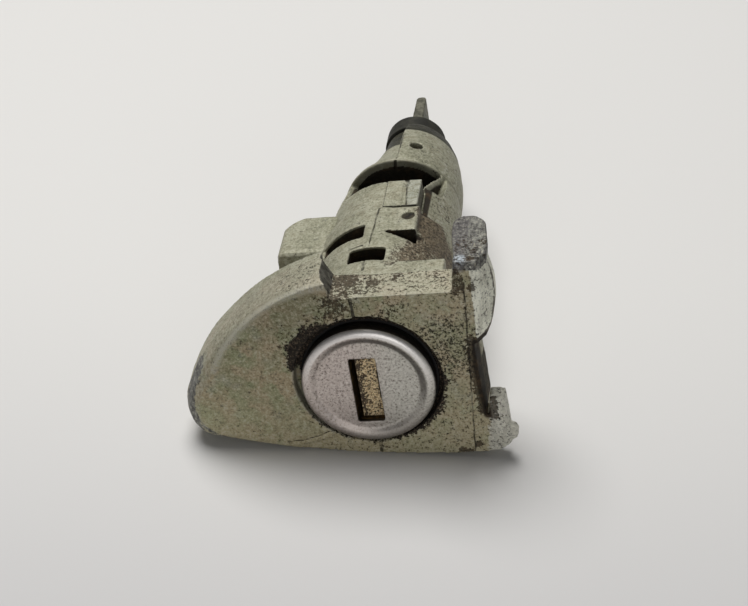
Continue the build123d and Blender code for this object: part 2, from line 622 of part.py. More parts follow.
def make_clutch():
    clutch = disc(CLUTCH_R, CLUTCH_FRONT_Y, CLUTCH_BACK_Y)
    clutch += dogs(CLUTCH_FRONT_Y - DOG_LENGTH, CLUTCH_FRONT_Y, 90)
    return clutch - prism(Rectangle(SHAFT_SQUARE + 2 * RUN_FIT, SHAFT_SQUARE + 2 * RUN_FIT), -FAR, FAR)


def make_tail_shaft():
    """Square shaft, hub, journal with a groove for its pin, and the flat blade that turns the latch rod."""
    square = prism(Rectangle(SHAFT_SQUARE, SHAFT_SQUARE), SHAFT_FRONT_Y, SPRING_HOUSE_Y + JOIN)
    groove_half = PIN_R + LOOSE_FIT
    turning = disc(HUB_R, SPRING_HOUSE_Y + LOOSE_FIT, TAIL_BORE_Y - LOOSE_FIT)
    turning += disc(TAIL_JOURNAL_R, TAIL_BORE_Y - LOOSE_FIT, BOOT_END_Y)
    turning -= ring(TAIL_JOURNAL_R + JOIN, TAIL_GROOVE_R, TAIL_PIN_Y - groove_half, TAIL_PIN_Y + groove_half)
    half_root = TAIL_ROOT_THICK / 2
    half_tip = TAIL_TIP_THICK / 2
    plan = make_face(Polyline((-half_root, NOSE_END_Y), (half_root, NOSE_END_Y), (half_tip, TAIL_END_Y),
                              (-half_tip, TAIL_END_Y), close=True))
    blade = extrude(plan, amount=TAIL_HEIGHT / 2, both=True)
    tips = blade.edges().filter_by(Axis.Z).group_by(Axis.Y)[-1]
    blade = fillet(tips, TAIL_TIP_R)
    return square + turning + keyed(blade)


def make_tail_boot():
    """Dark collar that covers the end of the nose and turns with the tail."""
    inner = TAIL_JOURNAL_R + SEAT_FIT
    front = NOSE_END_Y + LOOSE_FIT
    return turned([(inner, front), (BOOT_R, front), (BOOT_R, BOOT_END_Y - BOOT_EDGE), (BOOT_R - BOOT_EDGE, BOOT_END_Y),
                   (inner, BOOT_END_Y)])


def helix_point(radius, rise, y_from, turns):
    angle = 2 * math.pi * turns
    return Vector(radius * math.cos(angle), y_from + rise * turns, radius * math.sin(angle))


def helix_heading(radius, rise, turns):
    angle = 2 * math.pi * turns
    around = 2 * math.pi * radius
    return Vector(-around * math.sin(angle), rise, around * math.cos(angle)).normalized()


def coil(name, radius, wire, sides, y_from, y_to, turns):
    """Open helical spring about the cylinder's axis, as tangent arcs, two to each half turn."""
    rise = (y_to - y_from - wire) / turns
    start = y_from + wire / 2
    edges = []
    for step in range(round(2 * turns)):
        here = helix_point(radius, rise, start, step / 2)
        there = helix_point(radius, rise, start, (step + 1) / 2)
        leave = helix_heading(radius, rise, step / 2)
        arrive = helix_heading(radius, rise, (step + 1) / 2)
        reach = biarc_reach(there - here, leave, arrive)
        middle = ((here + leave * reach) + (there - arrive * reach)) * 0.5
        edges.append(Edge.make_tangent_arc(here, leave, middle))
        edges.append(Edge.make_tangent_arc(middle, edges[-1] % 1, there))
    path = Wire(edges)
    print(f"{name}: least gap between turns {least_gap(path, turns) - wire:.2f} mm")
    return sweep(Plane(origin=path @ 0, z_dir=path % 0) * RegularPolygon(wire / 2, sides), path=path)


def least_gap(path, turns):
    """Least distance from a coil's centre line to itself, half a turn or more further on."""
    points = [path @ (i / COIL_SAMPLES) for i in range(COIL_SAMPLES + 1)]
    half_turn = math.ceil(COIL_SAMPLES / turns / 2)
    distances = []
    for i, point in enumerate(points):
        distances += [(point - other).length for other in points[i + half_turn:]]
    return min(distances)


def biarc_reach(chord, leave, arrive):
    """Length of the equal end tangents of the two arcs that join two headings."""
    both = leave + arrive
    a = 2 * (1 - leave.dot(arrive))
    b = 2 * chord.dot(both)
    c = -chord.dot(chord)
    return (-b + math.sqrt(b * b - 4 * a * c)) / (2 * a)


def make_clutch_spring():
    return coil("clutch_spring", CLUTCH_SPRING_R, CLUTCH_SPRING_WIRE, WIRE_SIDES, CLUTCH_BACK_Y, SPRING_HOUSE_Y,
                CLUTCH_SPRING_TURNS)


def make_return_spring():
    radius = HUB_R + LOOSE_FIT + RETURN_WIRE / 2
    return coil("return_spring", radius, RETURN_WIRE, HIDDEN_WIRE_SIDES, SPRING_HOUSE_Y + 2 * LOOSE_FIT, TAIL_BORE_Y,
                RETURN_TURNS)


def save(name, shape):
    os.makedirs("parts", exist_ok=True)
    solids = shape.solids()
    part = solids[0] if len(solids) == 1 else Compound(children=list(solids))
    part.label = name
    export_step(part, f"parts/{name}.step")
    print(f"{name:18s} solids {len(solids)} volume {sum(s.volume for s in solids):9.2f}")


def main():
    save("housing", make_housing())
    save("retaining_block", make_retaining_block())
    save("stop_pin", make_stop_pin())
    save("tail_pin", make_tail_pin())
    save("face_seal", make_face_seal())
    save("face_cap", make_face_cap())
    save("plug", make_plug())
    save("shutter", make_shutter())
    save("shutter_pin", make_shutter_pin())
    save("shutter_spring", make_shutter_spring())
    for number, (y, side) in enumerate(wafer_places(), 1):
        save(f"wafer_{number}", make_wafer(y, side))
        save(f"wafer_spring_{number}", make_wafer_spring(y, side))
    save("clutch", make_clutch())
    save("clutch_spring", make_clutch_spring())
    save("return_spring", make_return_spring())
    save("tail_shaft", make_tail_shaft())
    save("tail_boot", make_tail_boot())


main()
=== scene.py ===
# %% [markdown]
# # Dressing a door lock cylinder
# The exact solids of this lock were made elsewhere and arrive here as a fixed frame: every
# node already has its true shape and place, in metres, with +Y running from the key face to
# the tail. In this lesson we leave those places alone and work on how the lock looks: old die-cast
# zinc with a worn olive coating, a pressed steel cap, dark grease and grit round the key face.

# %% Load the frame
import bpy
import math
import numpy as np
from mathutils import Matrix, Vector


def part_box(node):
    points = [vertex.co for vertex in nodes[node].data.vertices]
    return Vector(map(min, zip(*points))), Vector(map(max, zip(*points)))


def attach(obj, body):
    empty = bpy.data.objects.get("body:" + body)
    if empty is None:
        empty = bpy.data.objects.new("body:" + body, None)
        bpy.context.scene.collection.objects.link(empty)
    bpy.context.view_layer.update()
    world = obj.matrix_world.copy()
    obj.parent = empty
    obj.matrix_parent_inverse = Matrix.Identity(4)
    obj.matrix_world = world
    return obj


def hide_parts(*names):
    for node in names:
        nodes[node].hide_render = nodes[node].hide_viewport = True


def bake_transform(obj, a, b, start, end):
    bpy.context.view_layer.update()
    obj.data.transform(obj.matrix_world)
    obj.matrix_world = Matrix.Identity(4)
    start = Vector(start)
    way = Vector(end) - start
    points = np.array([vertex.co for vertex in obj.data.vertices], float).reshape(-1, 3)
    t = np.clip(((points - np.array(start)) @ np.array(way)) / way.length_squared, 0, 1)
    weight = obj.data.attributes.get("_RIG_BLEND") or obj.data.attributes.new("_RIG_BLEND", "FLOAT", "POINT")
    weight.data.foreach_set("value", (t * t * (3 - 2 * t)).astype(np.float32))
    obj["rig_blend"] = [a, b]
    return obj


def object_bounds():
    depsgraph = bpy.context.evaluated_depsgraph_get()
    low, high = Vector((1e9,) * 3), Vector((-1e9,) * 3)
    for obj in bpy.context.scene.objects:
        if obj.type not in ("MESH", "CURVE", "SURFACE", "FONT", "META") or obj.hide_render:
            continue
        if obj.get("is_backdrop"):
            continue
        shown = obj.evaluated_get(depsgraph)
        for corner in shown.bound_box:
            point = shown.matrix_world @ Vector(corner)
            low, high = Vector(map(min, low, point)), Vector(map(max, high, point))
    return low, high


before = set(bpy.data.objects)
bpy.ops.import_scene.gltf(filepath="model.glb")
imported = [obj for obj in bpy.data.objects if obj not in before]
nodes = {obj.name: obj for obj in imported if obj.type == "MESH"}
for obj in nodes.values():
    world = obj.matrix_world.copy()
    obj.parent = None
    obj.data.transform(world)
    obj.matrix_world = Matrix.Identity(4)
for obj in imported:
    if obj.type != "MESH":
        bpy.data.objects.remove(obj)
cad_low, cad_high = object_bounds()

# %% [markdown]
# ## Camera
# The camera stands in front of the key face, a little to the right and well above it, about
# 36 cm away, and looks down on the lock at 34 degrees. A long lens keeps the perspective calm.
# We give the camera its three axes directly as columns of a matrix, because a measured camera
# is easier to state as axes than as angles.

# %% Camera
MM = 0.001
FOCAL_PIXELS, PICTURE_WIDTH_PIXELS = 2500, 748


def camera_from_axes(place, right, down, forward, focal_share):
    """A camera at a place in millimetres; focal_share is its focal length in picture widths."""
    data = bpy.data.cameras.new("camera")
    data.sensor_width = 36
    data.lens = focal_share * data.sensor_width
    data.clip_start, data.clip_end = 0.01, 10
    made = bpy.data.objects.new("camera", data)
    bpy.context.scene.collection.objects.link(made)
    columns = [Vector(right), -Vector(down), -Vector(forward), Vector(place) * MM]
    made.matrix_world = Matrix([[c[i] for c in columns] for i in range(3)] + [[0, 0, 0, 1]])
    bpy.context.scene.camera = made
    return made


camera = camera_from_axes(place=(41.923, -290.846, 214.473), right=(0.99273, 0.11554, -0.03364),
                          down=(0.03749, -0.56260, -0.82588), forward=(-0.11434, 0.81861, -0.56285),
                          focal_share=FOCAL_PIXELS / PICTURE_WIDTH_PIXELS)
print("lens", round(camera.data.lens, 1), "mm")

# %% [markdown]
# ## Table and light
# The lock lies on a pale table. Only its lowest edges touch it, so a soft shadow gathers under
# the wing and the barrel. A broad lamp above it, a little behind and to the left, does most of
# the work, as a window would. A small lamp would be simpler, but its shadows would be hard. A
# weak lamp in front and a dim grey world keep the faces turned to the camera readable.

# %% Table and light
TABLE_HALF = 1.2
scene = bpy.context.scene
scene.view_settings.view_transform = "Standard"


def area_lamp(name, place, aim, size, watts, tint=(1, 1, 1)):
    data = bpy.data.lights.new(name, "AREA")
    data.shape, data.size, data.energy, data.color = "DISK", size, watts, tint
    lamp = bpy.data.objects.new(name, data)
    lamp.location = place
    lamp.rotation_euler = (Vector(aim) - Vector(place)).to_track_quat("-Z", "Y").to_euler()
    scene.collection.objects.link(lamp)
    return lamp


area_lamp("window_light", (-0.11, 0.20, 0.62), (0, 0.03, 0), 0.45, 4.35, (1.0, 0.99, 0.97))
area_lamp("front_fill", (0.10, -0.75, 0.14), (0, 0.02, 0), 0.5, 1.35)
world = bpy.data.worlds.new("room")
scene.world = world
world.use_nodes = True
world.node_tree.nodes["Background"].inputs["Color"].default_value = (0.62, 0.63, 0.64, 1)
world.node_tree.nodes["Background"].inputs["Strength"].default_value = 0.13

table_mesh = bpy.data.meshes.new("table")
corners = [(side * TABLE_HALF, end * TABLE_HALF, 0) for side, end in ((-1, -1), (1, -1), (1, 1), (-1, 1))]
table_mesh.from_pydata(corners, [], [(0, 1, 2, 3)])
table = bpy.data.objects.new("table", table_mesh)
table.location.z = cad_low.z
scene.collection.objects.link(table)
table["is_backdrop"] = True
print("table at z", round(cad_low.z / MM, 2), "mm")

# %% [markdown]
# ## Values that vary over a surface
# A procedural material is a small calculation done at each point of a surface. Wiring nodes by
# hand hides that, so we wrap a node's output in a class that can be added, multiplied and
# compared like a number. The wiring then reads as the sum it stands for.

# %% Fields
class Field:
    """The output of a shader node, used like a number."""

    def __init__(self, tree, socket):
        self.tree = tree
        self.socket = socket

    def math(self, operation, *others):
        node = self.tree.nodes.new("ShaderNodeMath")
        node.operation = operation
        for place, value in zip(node.inputs, (self, *others)):
            feed(self.tree, place, value)
        return Field(self.tree, node.outputs[0])

    def __add__(self, other):
        return self.math("ADD", other)

    def __sub__(self, other):
        return self.math("SUBTRACT", other)

    def __mul__(self, other):
        return self.math("MULTIPLY", other)

    def __rsub__(self, other):
        return self.math("MULTIPLY", -1.0).math("ADD", other)

    __radd__ = __add__
    __rmul__ = __mul__

    def root(self):
        return self.math("SQRT")

    def most(self, other):
        return self.math("MAXIMUM", other)

    def rise(self, low, high):
        """0 below low, 1 above high, and a smooth climb between."""
        node = self.tree.nodes.new("ShaderNodeMapRange")
        node.interpolation_type = "SMOOTHSTEP"
        feed(self.tree, node.inputs[0], self)
        node.inputs[1].default_value = low
        node.inputs[2].default_value = high
        return Field(self.tree, node.outputs[0])

    def fall(self, low, high):
        return 1.0 - self.rise(low, high)

    def band(self, low, high, soft):
        """1 between low and high, fading to 0 over soft on each side."""
        return self.rise(low - soft, low + soft) * self.fall(high - soft, high + soft)


def feed(tree, socket, value):
    if isinstance(value, Field):
        tree.links.new(value.socket, socket)
    else:
        socket.default_value = value


print("fields ready")

# %% [markdown]
# ## Colours
# We name colours as a screen shows them, in numbers from 0 to 255, because that is how one reads
# them off a monitor. Shaders reckon in linear light, so each has to be turned into that first.

# %% Colours
def linear(red, green, blue):
    """The colour with these screen values, as the linear numbers that shaders use."""
    parts = [v / 255 for v in (red, green, blue)]
    return tuple(p / 12.92 if p < 0.04045 else ((p + 0.055) / 1.055) ** 2.4 for p in parts) + (1.0,)


def colour(value):
    return value if isinstance(value, Field) else linear(*value)


print("mid grey is", round(linear(128, 128, 128)[0], 3), "in linear light")

# %% [markdown]
# ## A sheet of finish
# Each finish starts from the same kit: where the point is, in millimetres, a choice of clouds,
# grains and spots, and a way to lay coats of colour over another. The point's place comes from
# the object's own coordinates, so the pattern stays put when a piece turns.

# %% Finish
class Finish:
    """A material under construction."""

    def __init__(self, name):
        self.material = bpy.data.materials.new(name)
        self.material.use_nodes = True
        self.tree = self.material.node_tree
        self.shader = self.tree.nodes["Principled BSDF"]
        place = self.tree.nodes.new("ShaderNodeTexCoord").outputs["Object"]
        scaled = self.tree.nodes.new("ShaderNodeVectorMath")
        scaled.operation = "SCALE"
        self.tree.links.new(place, scaled.inputs[0])
        scaled.inputs["Scale"].default_value = 1 / MM
        self.place = scaled.outputs[0]
        parts = self.tree.nodes.new("ShaderNodeSeparateXYZ")
        self.tree.links.new(self.place, parts.inputs[0])
        self.x, self.y, self.z = (Field(self.tree, s) for s in parts.outputs)
        geometry = self.tree.nodes.new("ShaderNodeNewGeometry")
        self.edge = Field(self.tree, geometry.outputs["Pointiness"])

    def moved(self, shift, stretch=(1, 1, 1)):
        node = self.tree.nodes.new("ShaderNodeMapping")
        self.tree.links.new(self.place, node.inputs[0])
        node.inputs["Location"].default_value = shift
        node.inputs["Scale"].default_value = stretch
        return node.outputs[0]

    def clouds(self, size, seed=0.0, detail=3.0, rough=0.55, stretch=(1, 1, 1)):
        """Soft noise from 0 to 1, whose blotches are about size millimetres wide."""
        node = self.tree.nodes.new("ShaderNodeTexNoise")
        self.tree.links.new(self.moved((seed, seed * 1.7, seed * 0.6), stretch), node.inputs["Vector"])
        node.inputs["Scale"].default_value = 1 / size
        node.inputs["Detail"].default_value = detail
        node.inputs["Roughness"].default_value = rough
        return Field(self.tree, node.outputs[0])

    def spots(self, size, seed=0.0):
        """Distance to the nearest of many scattered points, in shares of size."""
        node = self.tree.nodes.new("ShaderNodeTexVoronoi")
        self.tree.links.new(self.moved((seed, seed, seed)), node.inputs["Vector"])
        node.inputs["Scale"].default_value = 1 / size
        return Field(self.tree, node.outputs["Distance"])

    def layer(self, name):
        """A layer that was painted on the mesh under this name; 0 where there is none."""
        node = self.tree.nodes.new("ShaderNodeAttribute")
        node.attribute_name = name
        return Field(self.tree, node.outputs["Fac"])

    def blend(self, share, under, over):
        """Under where share is 0, over where it is 1; each is a field or a screen colour."""
        node = self.tree.nodes.new("ShaderNodeMix")
        node.data_type = "RGBA"
        feed(self.tree, node.inputs[0], share)
        feed(self.tree, node.inputs[6], colour(under))
        feed(self.tree, node.inputs[7], colour(over))
        return Field(self.tree, node.outputs[2])

    def coats(self, under, *coats):
        """Lays coats over a colour, one after another; each is a share and what is laid on."""
        for share, over in coats:
            under = self.blend(share, under, over)
        return under

    def set(self, **sockets):
        for name, value in sockets.items():
            feed(self.tree, self.shader.inputs[name.replace("_", " ")], value)

    def bump(self, height, depth):
        """Relief in the shading; depth is the height of a full step, in millimetres."""
        node = self.tree.nodes.new("ShaderNodeBump")
        feed(self.tree, node.inputs["Height"], height)
        node.inputs["Distance"].default_value = depth * MM
        self.tree.links.new(node.outputs[0], self.shader.inputs["Normal"])


print("finish kit ready")

# %% [markdown]
# An object wears its material in material slots. A mesh may come with slots or without, so one
# helper serves both: it adds a slot where there is none, and then fills them all.

# %% Wear a finish
def wear(piece, finish):
    """Puts one finish on every material slot of a piece."""
    slots = piece.material_slots
    if not slots:
        piece.data.materials.append(finish.material)
    for slot in slots:
        slot.link = "OBJECT"
        slot.material = finish.material


print("finishes can be worn")

# %% [markdown]
# ## The table's finish
# The table is a plain pale grey with painted shade that darkens it a little towards the viewer,
# as the light of a window behind the object would. One slow blend along its depth is enough.

# %% Table finish
board = Finish("pale_table")
# painted shade: the table grows darker towards the viewer
board_colour = board.blend(board.y.rise(-150, 60), (188, 187, 190), (225, 224, 222))
board.set(Base_Color=board_colour, Roughness=0.75)
wear(table, board)
print("table painted")

# %% [markdown]
# ## A skin that can be sculpted
# The solid of the casting has long thin triangles and knife-sharp edges. A real casting comes
# out of its mould with every edge a little round, and then lives for years in a car door. So we
# copy the solid, wrap it in an even skin of fifth-of-a-millimetre faces (a voxel remesh), and
# relax that skin until its edges are soft. The keyway and the windows lean by 6.3 degrees, so the
# copy is turned upright first: edges that line up with the voxels come out straighter.

# %% Skin and relief
LEAN = math.radians(6.3)


def apply_modifiers(piece):
    graph = bpy.context.evaluated_depsgraph_get()
    made = bpy.data.meshes.new_from_object(piece.evaluated_get(graph))
    piece.modifiers.clear()
    piece.data = made
    return made


def skin_of(node, name, voxel, softness):
    """A copy of a CAD node, in millimetres, as an even skin with soft edges."""
    mesh = nodes[node].data.copy()
    mesh.materials.clear()
    mesh.transform(Matrix.Scale(1 / MM, 4) @ Matrix.Rotation(LEAN, 4, "Y"))
    piece = bpy.data.objects.new(name, mesh)
    scene.collection.objects.link(piece)
    remesh = piece.modifiers.new("skin", "REMESH")
    remesh.mode = "VOXEL"
    remesh.voxel_size = voxel
    relax = piece.modifiers.new("relax", "SMOOTH")
    relax.factor = 0.5
    relax.iterations = softness
    made = apply_modifiers(piece)
    made.transform(Matrix.Rotation(-LEAN, 4, "Y"))
    print(name, len(made.polygons), "faces")
    return piece


def roughen(piece, size, height):
    """Pushes the skin in and out by cloud noise; height is the whole swing in millimetres."""
    texture = bpy.data.textures.new(f"relief_{size}", "CLOUDS")
    texture.noise_scale = size
    texture.noise_depth = 2
    shift = piece.modifiers.new("relief", "DISPLACE")
    shift.texture = texture
    shift.texture_coords = "LOCAL"
    shift.strength = height
    shift.mid_level = 0.5


print("skins can be made and roughened")

# %% [markdown]
# A fine skin has far more points than the solid under it, and a plain Python loop over them is
# slow. So we copy them all into one numpy array, reckon there, and copy them back. A skin that
# is done goes back from millimetres to metres and onto its body, in place of its solid.

# %% Points of a skin, and handing it over
def points_of(mesh):
    values = np.zeros(len(mesh.vertices) * 3)
    mesh.vertices.foreach_get("co", values)
    return values.reshape(-1, 3)


def normals_of(mesh):
    values = np.zeros(len(mesh.vertices) * 3, np.float32)
    mesh.vertex_normals.foreach_get("vector", values)
    return values.reshape(-1, 3).astype(float)


def push(mesh, points, normals, heights):
    """Moves every point along its normal by its own height."""
    moved = points + normals * heights[:, None]
    mesh.vertices.foreach_set("co", moved.astype(np.float32).ravel())
    mesh.update()


def settle(piece, body, node):
    """Back to metres, smooth shading, and onto its body in place of the CAD node."""
    piece.data.transform(Matrix.Scale(MM, 4))
    piece.data.shade_smooth()
    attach(piece, body)
    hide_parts(node)


print("points can be read and pushed")

# %% [markdown]
# ## Painting by distance
# Dirt, joint lines and bare metal have places of their own on this lock. They could be painted
# with a brush, but a rule can be read and gives the same result each time. So we describe each as
# a path or a patch in millimetres, and measure how far every point of the skin is from it.

# %% Distances
def distance_to_path(points, path):
    """Distance of every point to the nearest stretch of a path through space."""
    nearest = np.full(len(points), np.inf)
    for start, end in zip(path[:-1], path[1:]):
        start, along = np.array(start), np.array(end) - np.array(start)
        share = np.clip((points - start) @ along / (along @ along), 0, 1)
        nearest = np.minimum(nearest, np.linalg.norm(points - start - share[:, None] * along, axis=1))
    return nearest


def climb(values, low, high):
    """0 below low, 1 above high, smooth between."""
    share = np.clip((values - low) / (high - low), 0, 1)
    return share * share * (3 - 2 * share)


def between(values, low, high):
    return (values > low) & (values < high)


def keyed_across(x, z):
    """How far to the right a place lies, as the leaning keyway sees it."""
    return x * math.cos(LEAN) + z * math.sin(LEAN)


def keyed_up(x, z):
    """How high a place lies, as the leaning keyway sees it."""
    return z * math.cos(LEAN) - x * math.sin(LEAN)


print("10 mm straight up is", round(keyed_across(0, 10), 2), "mm to the right in the keyway's eyes")

# %% [markdown]
# A layer is one number for every point, from 0 to 1. A list of marks becomes one layer by keeping
# the strongest at each point, so that overlaps don't add up. Each layer is stored on the mesh
# under a name. The material reads it later, and breaks up the edges of most layers with noise.

# %% Layers
def stroke(points, path, reach, soft, strength=1.0):
    """Strength within reach of a path, fading to nothing over soft."""
    return strength * (1 - climb(distance_to_path(points, path), reach, reach + soft))


def patch(points, centre, reach, soft, strength=1.0):
    """Strength within reach of a centre, fading to nothing over soft."""
    return strength * (1 - climb(np.linalg.norm(points - np.array(centre), axis=1), reach, reach + soft))


def strongest(*layers):
    return np.maximum.reduce(layers)


def marks(points, patches=(), strokes=()):
    """Many patches and strokes as one layer."""
    layers = [patch(points, *mark) for mark in patches] + [stroke(points, *mark) for mark in strokes]
    return strongest(*layers)


def paint(mesh, **layers):
    for name, values in layers.items():
        attribute = mesh.attributes.new(name, "FLOAT", "POINT")
        attribute.data.foreach_set("value", values.astype(np.float32))


print("layers can be painted")

# %% [markdown]
# ## The casting's relief
# Molten zinc shrinks as it sets, so even the flat faces have slow hollows, and sand-sized grit
# has worn them rough. A bump in the material would be cheaper, but it never shows at an outline.
# So layers of cloud noise push the skin itself in and out by a few hundredths of a millimetre.
# Then come the marks that belong to this lock: the upright line where the face's plate meets its
# right-hand strip, the seam between wing and plate, and the parting line along the barrel's top.

# %% Casting
JOINT_DEPTH, JOINT_SOFT = 0.14, 0.17
JOINTS = [
    ([(14.1, 0, 18.5), (14.7, 0, 7.0), (15.5, 0, -11.3)], 0.02),
    ([(-2.2, -0.3, 15.3), (-1.9, -0.3, 13.4), (-1.5, 0, 11.0)], 0.16),
    ([(1.4, 0, -9.8), (1.6, 0, -12.0)], 0.14),
    ([(-12.4, -0.3, -10.9), (-10.0, -0.3, -10.4), (-7.6, -0.3, -9.5), (-6.0, -0.3, -8.5)], 0.0),
    ([(-0.9, 57.2, 8.6), (-0.9, 54.4, 9.04), (-0.9, 52.0, 9.2)], 0.16),
    ([(-0.9, 51.5, 9.25), (-0.9, 48.4, 9.36)], 0.02),
    ([(-1.05, 47.7, 9.3), (-1.0, 47.7, 7.0)], 0.14),
    ([(-1.25, 39.6, 10.3), (-1.25, 38.4, 11.1)], 0.12),
    ([(-1.25, 31.0, 11.2), (-1.6, 30.0, 11.2), (-1.75, 26.0, 11.2), (-2.05, 19.7, 11.2)], 0.03),
    ([(-2.2, 16.1, 11.2), (-2.1, 13.2, 11.3)], 0.12),
    ([(-1.5, 30.95, 11.0), (4.6, 30.95, 11.7)], 0.16),
    ([(-5.1, 20.2, 10.1), (-3.0, 20.4, 10.9)], 0.10),
    ([(-4.0, 6.5, 15.1), (0.7, 5.9, 15.57), (5.9, 6.2, 16.1), (13.0, 6.3, 16.9)], 0.13),
    ([(1.2, 14.6, 11.4), (4.0, 15.2, 11.5), (7.6, 15.2, 9.2)], 0.10),
]
casting = skin_of("housing", "casting", 0.2, 2)
for size, height in ((4.0, 0.14), (1.1, 0.07), (0.5, 0.04)):
    roughen(casting, size, height)
mesh = apply_modifiers(casting)
points, normals = points_of(mesh), normals_of(mesh)
x, y, z = points.T
keyed_x = keyed_across(x, z)
from_axis = np.hypot(x, z)
joint = strongest(*[stroke(points, path, width, JOINT_SOFT) for path, width in JOINTS])
push(mesh, points, normals, -JOINT_DEPTH * joint)
points = points_of(mesh)
print("casting cut up to", round(JOINT_DEPTH * float(joint.max()), 2), "mm along", len(JOINTS), "lines")

# %% [markdown]
# ## Crust round the cap
# Grease and grit gathered in a ragged crescent round the cap, thickest at its upper left. The
# crescent is described by its thickness at a few angles, counted from the right and upwards.
# It could be modelled grain by grain. At this size a dark layer does as well, if it also lifts
# the plate in small lumps. A thinner halo of specks goes on beyond it.

# %% Crust
CRUST = [(-180, 0.1), (-100, 0.1), (-75, 0.4), (-45, 0.9), (-20, 1.5), (-5, 1.2), (8, 1.8), (20, 1.3),
         (35, 1.7), (48, 1.1), (62, 1.9), (74, 1.4), (84, 2.2), (94, 1.5), (105, 2.3), (115, 2.1),
         (128, 3.2), (140, 3.7), (152, 3.3), (163, 2.5), (170, 1.4), (176, 0.3), (180, 0.1)]
CAP_R, CRUST_FADE = 9.9, 2.0
HALO_R, HALO_FADE = 11.5, 4.0
LUMPS_FROM_R, LUMP_HEIGHT = 11.1, 0.16
angle = np.degrees(np.arctan2(z, x))
thickness = np.interp(angle, *zip(*CRUST))
near_face = 1 - climb(y, 2.5, 3.2)
crust = np.clip((CAP_R + thickness - from_axis) / CRUST_FADE + 0.5, 0, 1) * near_face
halo = np.clip((HALO_R + 1.5 * thickness - from_axis) / HALO_FADE, 0, 1) * near_face
lumps = 0.5 + 0.5 * np.sin(5.1 * x + 3.3 * z) * np.sin(4.7 * z - 2.9 * x)
push(mesh, points, normals, LUMP_HEIGHT * climb(crust, 0.35, 0.8) * lumps * (from_axis > LUMPS_FROM_R))
print("crust up to", round(float(thickness.max()), 1), "mm wide, lumps", LUMP_HEIGHT, "mm high")

# %% [markdown]
# ## Painted shade in the hollows
# The dark inside the windows could be left to the lamps, but here it is painted shade, blacker than
# the lamps make it. How deep a point lies below the barrel's outer surface decides how black it is.
# The gap round the cap, the right edge of the head and the wall at the back of the throat get
# painted shade too, each by a rule that names its place. The rear wall of the wide port catches
# light, and so does the thin rib in it, so both get less of it and stay paler.

# %% Painted shade in the hollows
HEAD_END_Y, BARREL_STEP_Y, WINDOWS_END_Y = 6.4, 31, 48.4
PORT_Y, PORT_WALL_Y, RIB_X = (39.9, 47.6), (47.3, 48.0), (4.6, 7.6)
OUTER_R = [(6, 11.2), (31, 11.2), (31.1, 10.5), (40, 10.3), (47, 9.4), (48, 9.4)]
GAP_DIRT = [(-180, 0.25), (-170, 0.15), (-95, 0.15), (-70, 0.4), (-45, 1), (20, 1), (100, 0.9), (150, 0.6),
            (172, 0.45), (180, 0.25)]
# painted shade along the head's right edge, in the gap beside the block and in the throat
SOOT_STROKES = [
    ([(15.7, 0, 8.3), (15.9, 0, 4.0), (16.5, 0, 0.0), (17.4, 0, -4.5)], 0.15, 0.9, 0.9),
    ([(5.3, 39.6, 9.6), (5.35, 33.0, 9.8), (5.35, 31.5, 9.9)], 0.7, 0.5),
    ([(4.3, 24.0, 10.9), (5.2, 24.2, 10.3)], 0.4, 0.5, 0.9),
]
facing_right, facing_back, facing_up = normals.T
depth = np.interp(y, *zip(*OUTER_R)) - from_axis
front = y < BARREL_STEP_Y
windows = between(y, HEAD_END_Y, WINDOWS_END_Y)
# painted shade, blacker the deeper a point lies below the barrel's outer surface
soot = climb(depth, np.where(front, 0.10, 0.25), np.where(front, 0.5, 1.0)) * windows
port_wall = between(y, *PORT_WALL_Y) & (from_axis > 8.2)
soot = np.where(port_wall, 0.40, soot)
rib = between(y, *PORT_Y) & between(keyed_x, *RIB_X) & (facing_up > 0.45)
soot = np.where(rib, soot * 0.25, soot)
# painted shade in the gap round the cap, stronger at some angles than at others
cap_gap = climb(y, 0.5, 1.0) * (from_axis < 11.4) * (y < 3.2) * np.interp(angle, *zip(*GAP_DIRT))
# painted shade under the lug, on the head's right side and on the throat's back wall
under_lug = between(x, 16.2, 18.3) & between(z, -5, 7) & between(y, 3, 8)
edge_side = (facing_right > 0.5) & (x < 18.3) & between(z, -5, 9.2)
right_edge = climb(x, 15.2, 15.9) * climb(-y, -7.5, -1.5) * edge_side
throat_wall = (facing_back < -0.5) & between(y, 23.9, 24.5) & (z > 9)
soot = strongest(soot, cap_gap, right_edge, 0.7 * under_lug, 0.8 * throat_wall,
                 marks(points, strokes=SOOT_STROKES))
print("soot on", round(100 * float((soot > 0.5).mean()), 1), "percent of the points")
